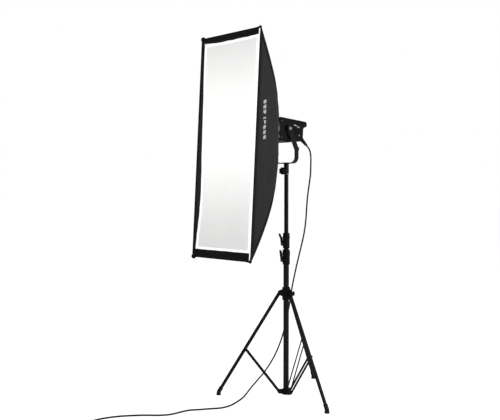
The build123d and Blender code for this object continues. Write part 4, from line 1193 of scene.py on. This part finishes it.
def ring_hem():
    """Elastic hem that gathers the cloth round the mounting ring."""
    around = [k / 240 for k in range(240)]
    path = [section_point(RING_DEPTH - 0.0015, v, 0.0002) for v in around]
    path.append(path[0].copy())
    bumps = lambda t: 0.0030 + 0.0007 * math.sin(2 * math.pi * 44 * t)
    points, faces = tube(path, bumps, 10)
    make("ring_elastic_hem", points, faces[:-2], BINDING, "softbox", "black_fabric")


def side_mark():
    """Plain dashed stripe printed on the panel on the cord's side."""
    parts = []
    top, bottom = (0.086, 0.224), (0.099, 0.030)
    dashes, half_depth, slant = 8, 0.0150, 0.011
    for k in range(dashes):
        start = k / dashes
        finish = start + 0.70 / dashes

        def at(u, v, start=start, finish=finish):
            share = start + (finish - start) * u
            depth = top[0] + (bottom[0] - top[0]) * share + half_depth * (2 * v - 1)
            up = top[1] + (bottom[1] - top[1]) * share + slant * (v - 0.5)
            corner = corners(depth)
            across = (up - corner[1].y) / (corner[2].y - corner[1].y)
            return section_point(depth, (1 + across) / 4, 0.0005)
        parts.append(grid(7, 7, at))
    make("side_panel_stripe", *merge(*parts), MARK, "softbox")


front_lip()
diffusers()
rod_pockets()
ring_hem()
side_mark()


# ---------------------------------------------------------------- lamp head details
def socket_screw(place, axis, radius=0.0022):
    """Cap screw: domed rim, flat top and a recessed socket."""
    depth = radius * 0.9
    outline = [(radius, -0.0008), (radius, radius * 0.35), (radius * 0.86, radius * 0.6),
               (radius * 0.58, radius * 0.6),
               (radius * 0.5, radius * 0.5), (radius * 0.5, -depth * 0.2), (radius * 0.1, -depth * 0.25)]
    return turned(place, axis, outline, 20)


def rounded_plate(centre, across, up, size, corner, thickness, crown=0.0):
    """A plate with rounded corners and softened edges, proud of its centre by thickness."""
    out = across.cross(up).normalized()
    outline = []
    steps = 8
    for sx, sy, turn in ((1, 1, 0), (-1, 1, 1), (-1, -1, 2), (1, -1, 3)):
        for k in range(steps):
            a = math.pi / 2 * (turn + k / (steps - 1))
            outline.append((sx * (size[0] / 2 - corner) + corner * math.cos(a),
                            sy * (size[1] / 2 - corner) + corner * math.sin(a)))
    levels = [(1.0, -0.0006), (1.0, thickness * 0.6), (1 - 0.25 * thickness / min(size), thickness),
              (0.5, thickness + crown * 0.7), (0.02, thickness + crown)]
    points, faces = [], []
    count = len(outline)
    for share, lift in levels:
        points += [centre + across * (a * share) + up * (b * share) + out * lift for a, b in outline]
    for i in range(len(levels) - 1):
        for k in range(count):
            n = (k + 1) % count
            faces.append((i * count + k, i * count + n, (i + 1) * count + n, (i + 1) * count + k))
    faces.append(tuple(range(count * (len(levels) - 1), count * len(levels))))
    faces.append(tuple(reversed(range(count))))
    return points, faces


def lamp_details():
    screws = []
    for x in (-0.050, 0.050):
        for up in (0.008, -0.042):
            screws.append(socket_screw(lamp_at(x, up, LAMP_REAR - 0.0040), -AHEAD, 0.0026))
    for side in (-1, 1):
        for up in (0.036, -0.050):
            screws.append(socket_screw(lamp_at(side * LAMP_HALF_WIDTH, up, 0.050), SIDE * side, 0.0026))
    for x in (-0.046, 0.046):
        for ahead in (0.036, -0.120):
            screws.append(socket_screw(lamp_at(x, LAMP_TOP + 0.0040, ahead), UP, 0.0026))
    make("lamp_screws", *merge(*screws), STEEL, "lamp", "steel")

    # small generic dashes on both cheeks, where the lamp's rating would be
    marks = []
    for side in (-1, 1):
        for k, width in enumerate((0.016, 0.007, 0.011)):
            ahead = (-0.054, -0.072, -0.086)[k]
            up = 0.0245 - 0.0035 * k
            inset = (HOUSING_SPLIT - ahead) / (HOUSING_SPLIT - LAMP_REAR) * 0.004
            centre = lamp_at(side * (LAMP_HALF_WIDTH - inset + 0.0001), up, ahead)
            marks.append(rounded_plate(centre, -AHEAD * side, UP, (width, 0.0062), 0.0012, 0.0005))
        centre = lamp_at(side * (LAMP_HALF_WIDTH - 0.0023 + 0.0001), -0.024, -0.095)
        marks.append(rounded_plate(centre, -AHEAD * side, UP, (0.007, 0.007), 0.0032, 0.0005))
    make("lamp_side_marks", *merge(*marks), MARK, "lamp")

    # level bars behind the display's window
    bars = []
    for k in range(9):
        height = 0.0022 + 0.0007 * k
        centre = lamp_at(0.0115 - 0.0032 * k - 0.0245, 0.0012, LAMP_REAR - 0.00365)
        middle = centre - UP * (0.0045 - height / 2)
        bars.append(rounded_plate(middle, -SIDE, UP, (0.0020, height), 0.0003, 0.0002))
    make("display_bars", *merge(*bars), SEGMENTS, "lamp")

    # ticks round the dimmer dial
    ticks = []
    for k in range(11):
        a = math.radians(225 - 27 * k)
        centre = lamp_at(0.010, -0.014, LAMP_REAR - 0.0040)
        across = -SIDE * math.cos(a) + UP * math.sin(a)
        spot = centre + across * 0.0142
        ticks.append(rounded_plate(spot, across, (-AHEAD).cross(across), (0.0026, 0.0008), 0.0003, 0.0003))
    make("dial_ticks", *merge(*ticks), PRINT, "lamp")
    spot = lamp_at(0.010, -0.0085, LAMP_REAR - 0.0130)
    pointer = rounded_plate(spot, -SIDE, UP, (0.0012, 0.0070), 0.0005, 0.0004)
    make("dial_pointer", *pointer, PRINT, "dial")

    # moulded ribs down the rear half of both cheeks
    ribs = []
    for side in (-1, 1):
        for k in range(5):
            ahead = -0.060 - 0.0085 * k
            inset = (HOUSING_SPLIT - ahead) / (HOUSING_SPLIT - LAMP_REAR) * 0.004
            centre = lamp_at(side * (LAMP_HALF_WIDTH - inset - 0.0004), -0.004, ahead)
            ribs.append(rounded_plate(centre, -AHEAD * side, UP, (0.0034, 0.030), 0.0016, 0.0016))
    make("lamp_cheek_ribs", *merge(*ribs), CASE, "lamp", "plastic")

    # rubber stop on the back edge of each yoke arm
    stops = []
    for side in (-1, 1):
        centre = COLUMN + Vector((side * 0.0775, 0.0060, 1.318))
        stops.append(rounded_plate(centre, Vector((-1, 0, 0)), Vector((0, 0, 1)), (0.0046, 0.018), 0.0018,
                                   0.0055, 0.0012))
    make("yoke_stops", *merge(*stops), RUBBER, "yoke", "rubber")


lamp_details()


def clamp_levers():
    """Cam levers: thick blades that start against the collar and curl out to the tip, on steel pins."""
    out = Vector((-1, -1, 0)).normalized()
    wide = Vector((1, -1, 0)).normalized()
    for which, outer, low, high, lean in (("upper", 0.0180, 0.790, 0.872, 0.0150),
                                          ("lower", 0.0195, 0.703, 0.783, 0.0090)):
        pin, tip = low + 0.024, high - 0.004
        # the heel stays within 5.5 mm of the pin, so that the lever clears the collar as it opens
        outline = [(0.0006, pin + 0.001), (0.0026, pin - 0.0040), (0.0060, pin - 0.0053),
                   (0.0098, pin - 0.0037),
                   (0.0125, pin + 0.010), (0.0145, pin + 0.026), (lean + 0.0078, tip - 0.007),
                   (lean + 0.0085, tip), (lean - 0.0015, tip + 0.001), (lean - 0.0060, tip - 0.011),
                   (0.0020, pin + 0.031), (0.0006, pin + 0.020)]
        count = len(outline)
        points = [COLUMN + out * (outer + r) + wide * (side * 0.0085) + Vector((0, 0, z))
                  for side in (-1, 1) for r, z in outline]
        faces = [tuple(range(count)), tuple(reversed(range(count, 2 * count)))]
        faces += [(k, k + count, (k + 1) % count + count, (k + 1) % count) for k in range(count)]
        blade = make(which + "_lever_blade", points, faces, PLASTIC, which + "_lever", "plastic", smooth=False)
        bevel = blade.modifiers.new("softened", "BEVEL")
        bevel.width = 0.0011
        bevel.segments = 3
        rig.replaces(blade, which + "_clamp_lever")
        start = COLUMN + out * (outer + 0.006) - wide * 0.0145 + Vector((0, 0, pin))
        ends = turned(start, wide, [(0.0016, 0), (0.0022, 0.0006), (0.0022, 0.0284), (0.0016, 0.0290)], 20)
        make(which + "_lever_pin", *ends, STEEL, which + "_lever", "steel")


clamp_levers()

visual_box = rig.bounds()
with open("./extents.json", "w") as out:
    json.dump({"cad": [list(corner) for corner in cad_box],
               "visual": [list(corner) for corner in visual_box]}, out)
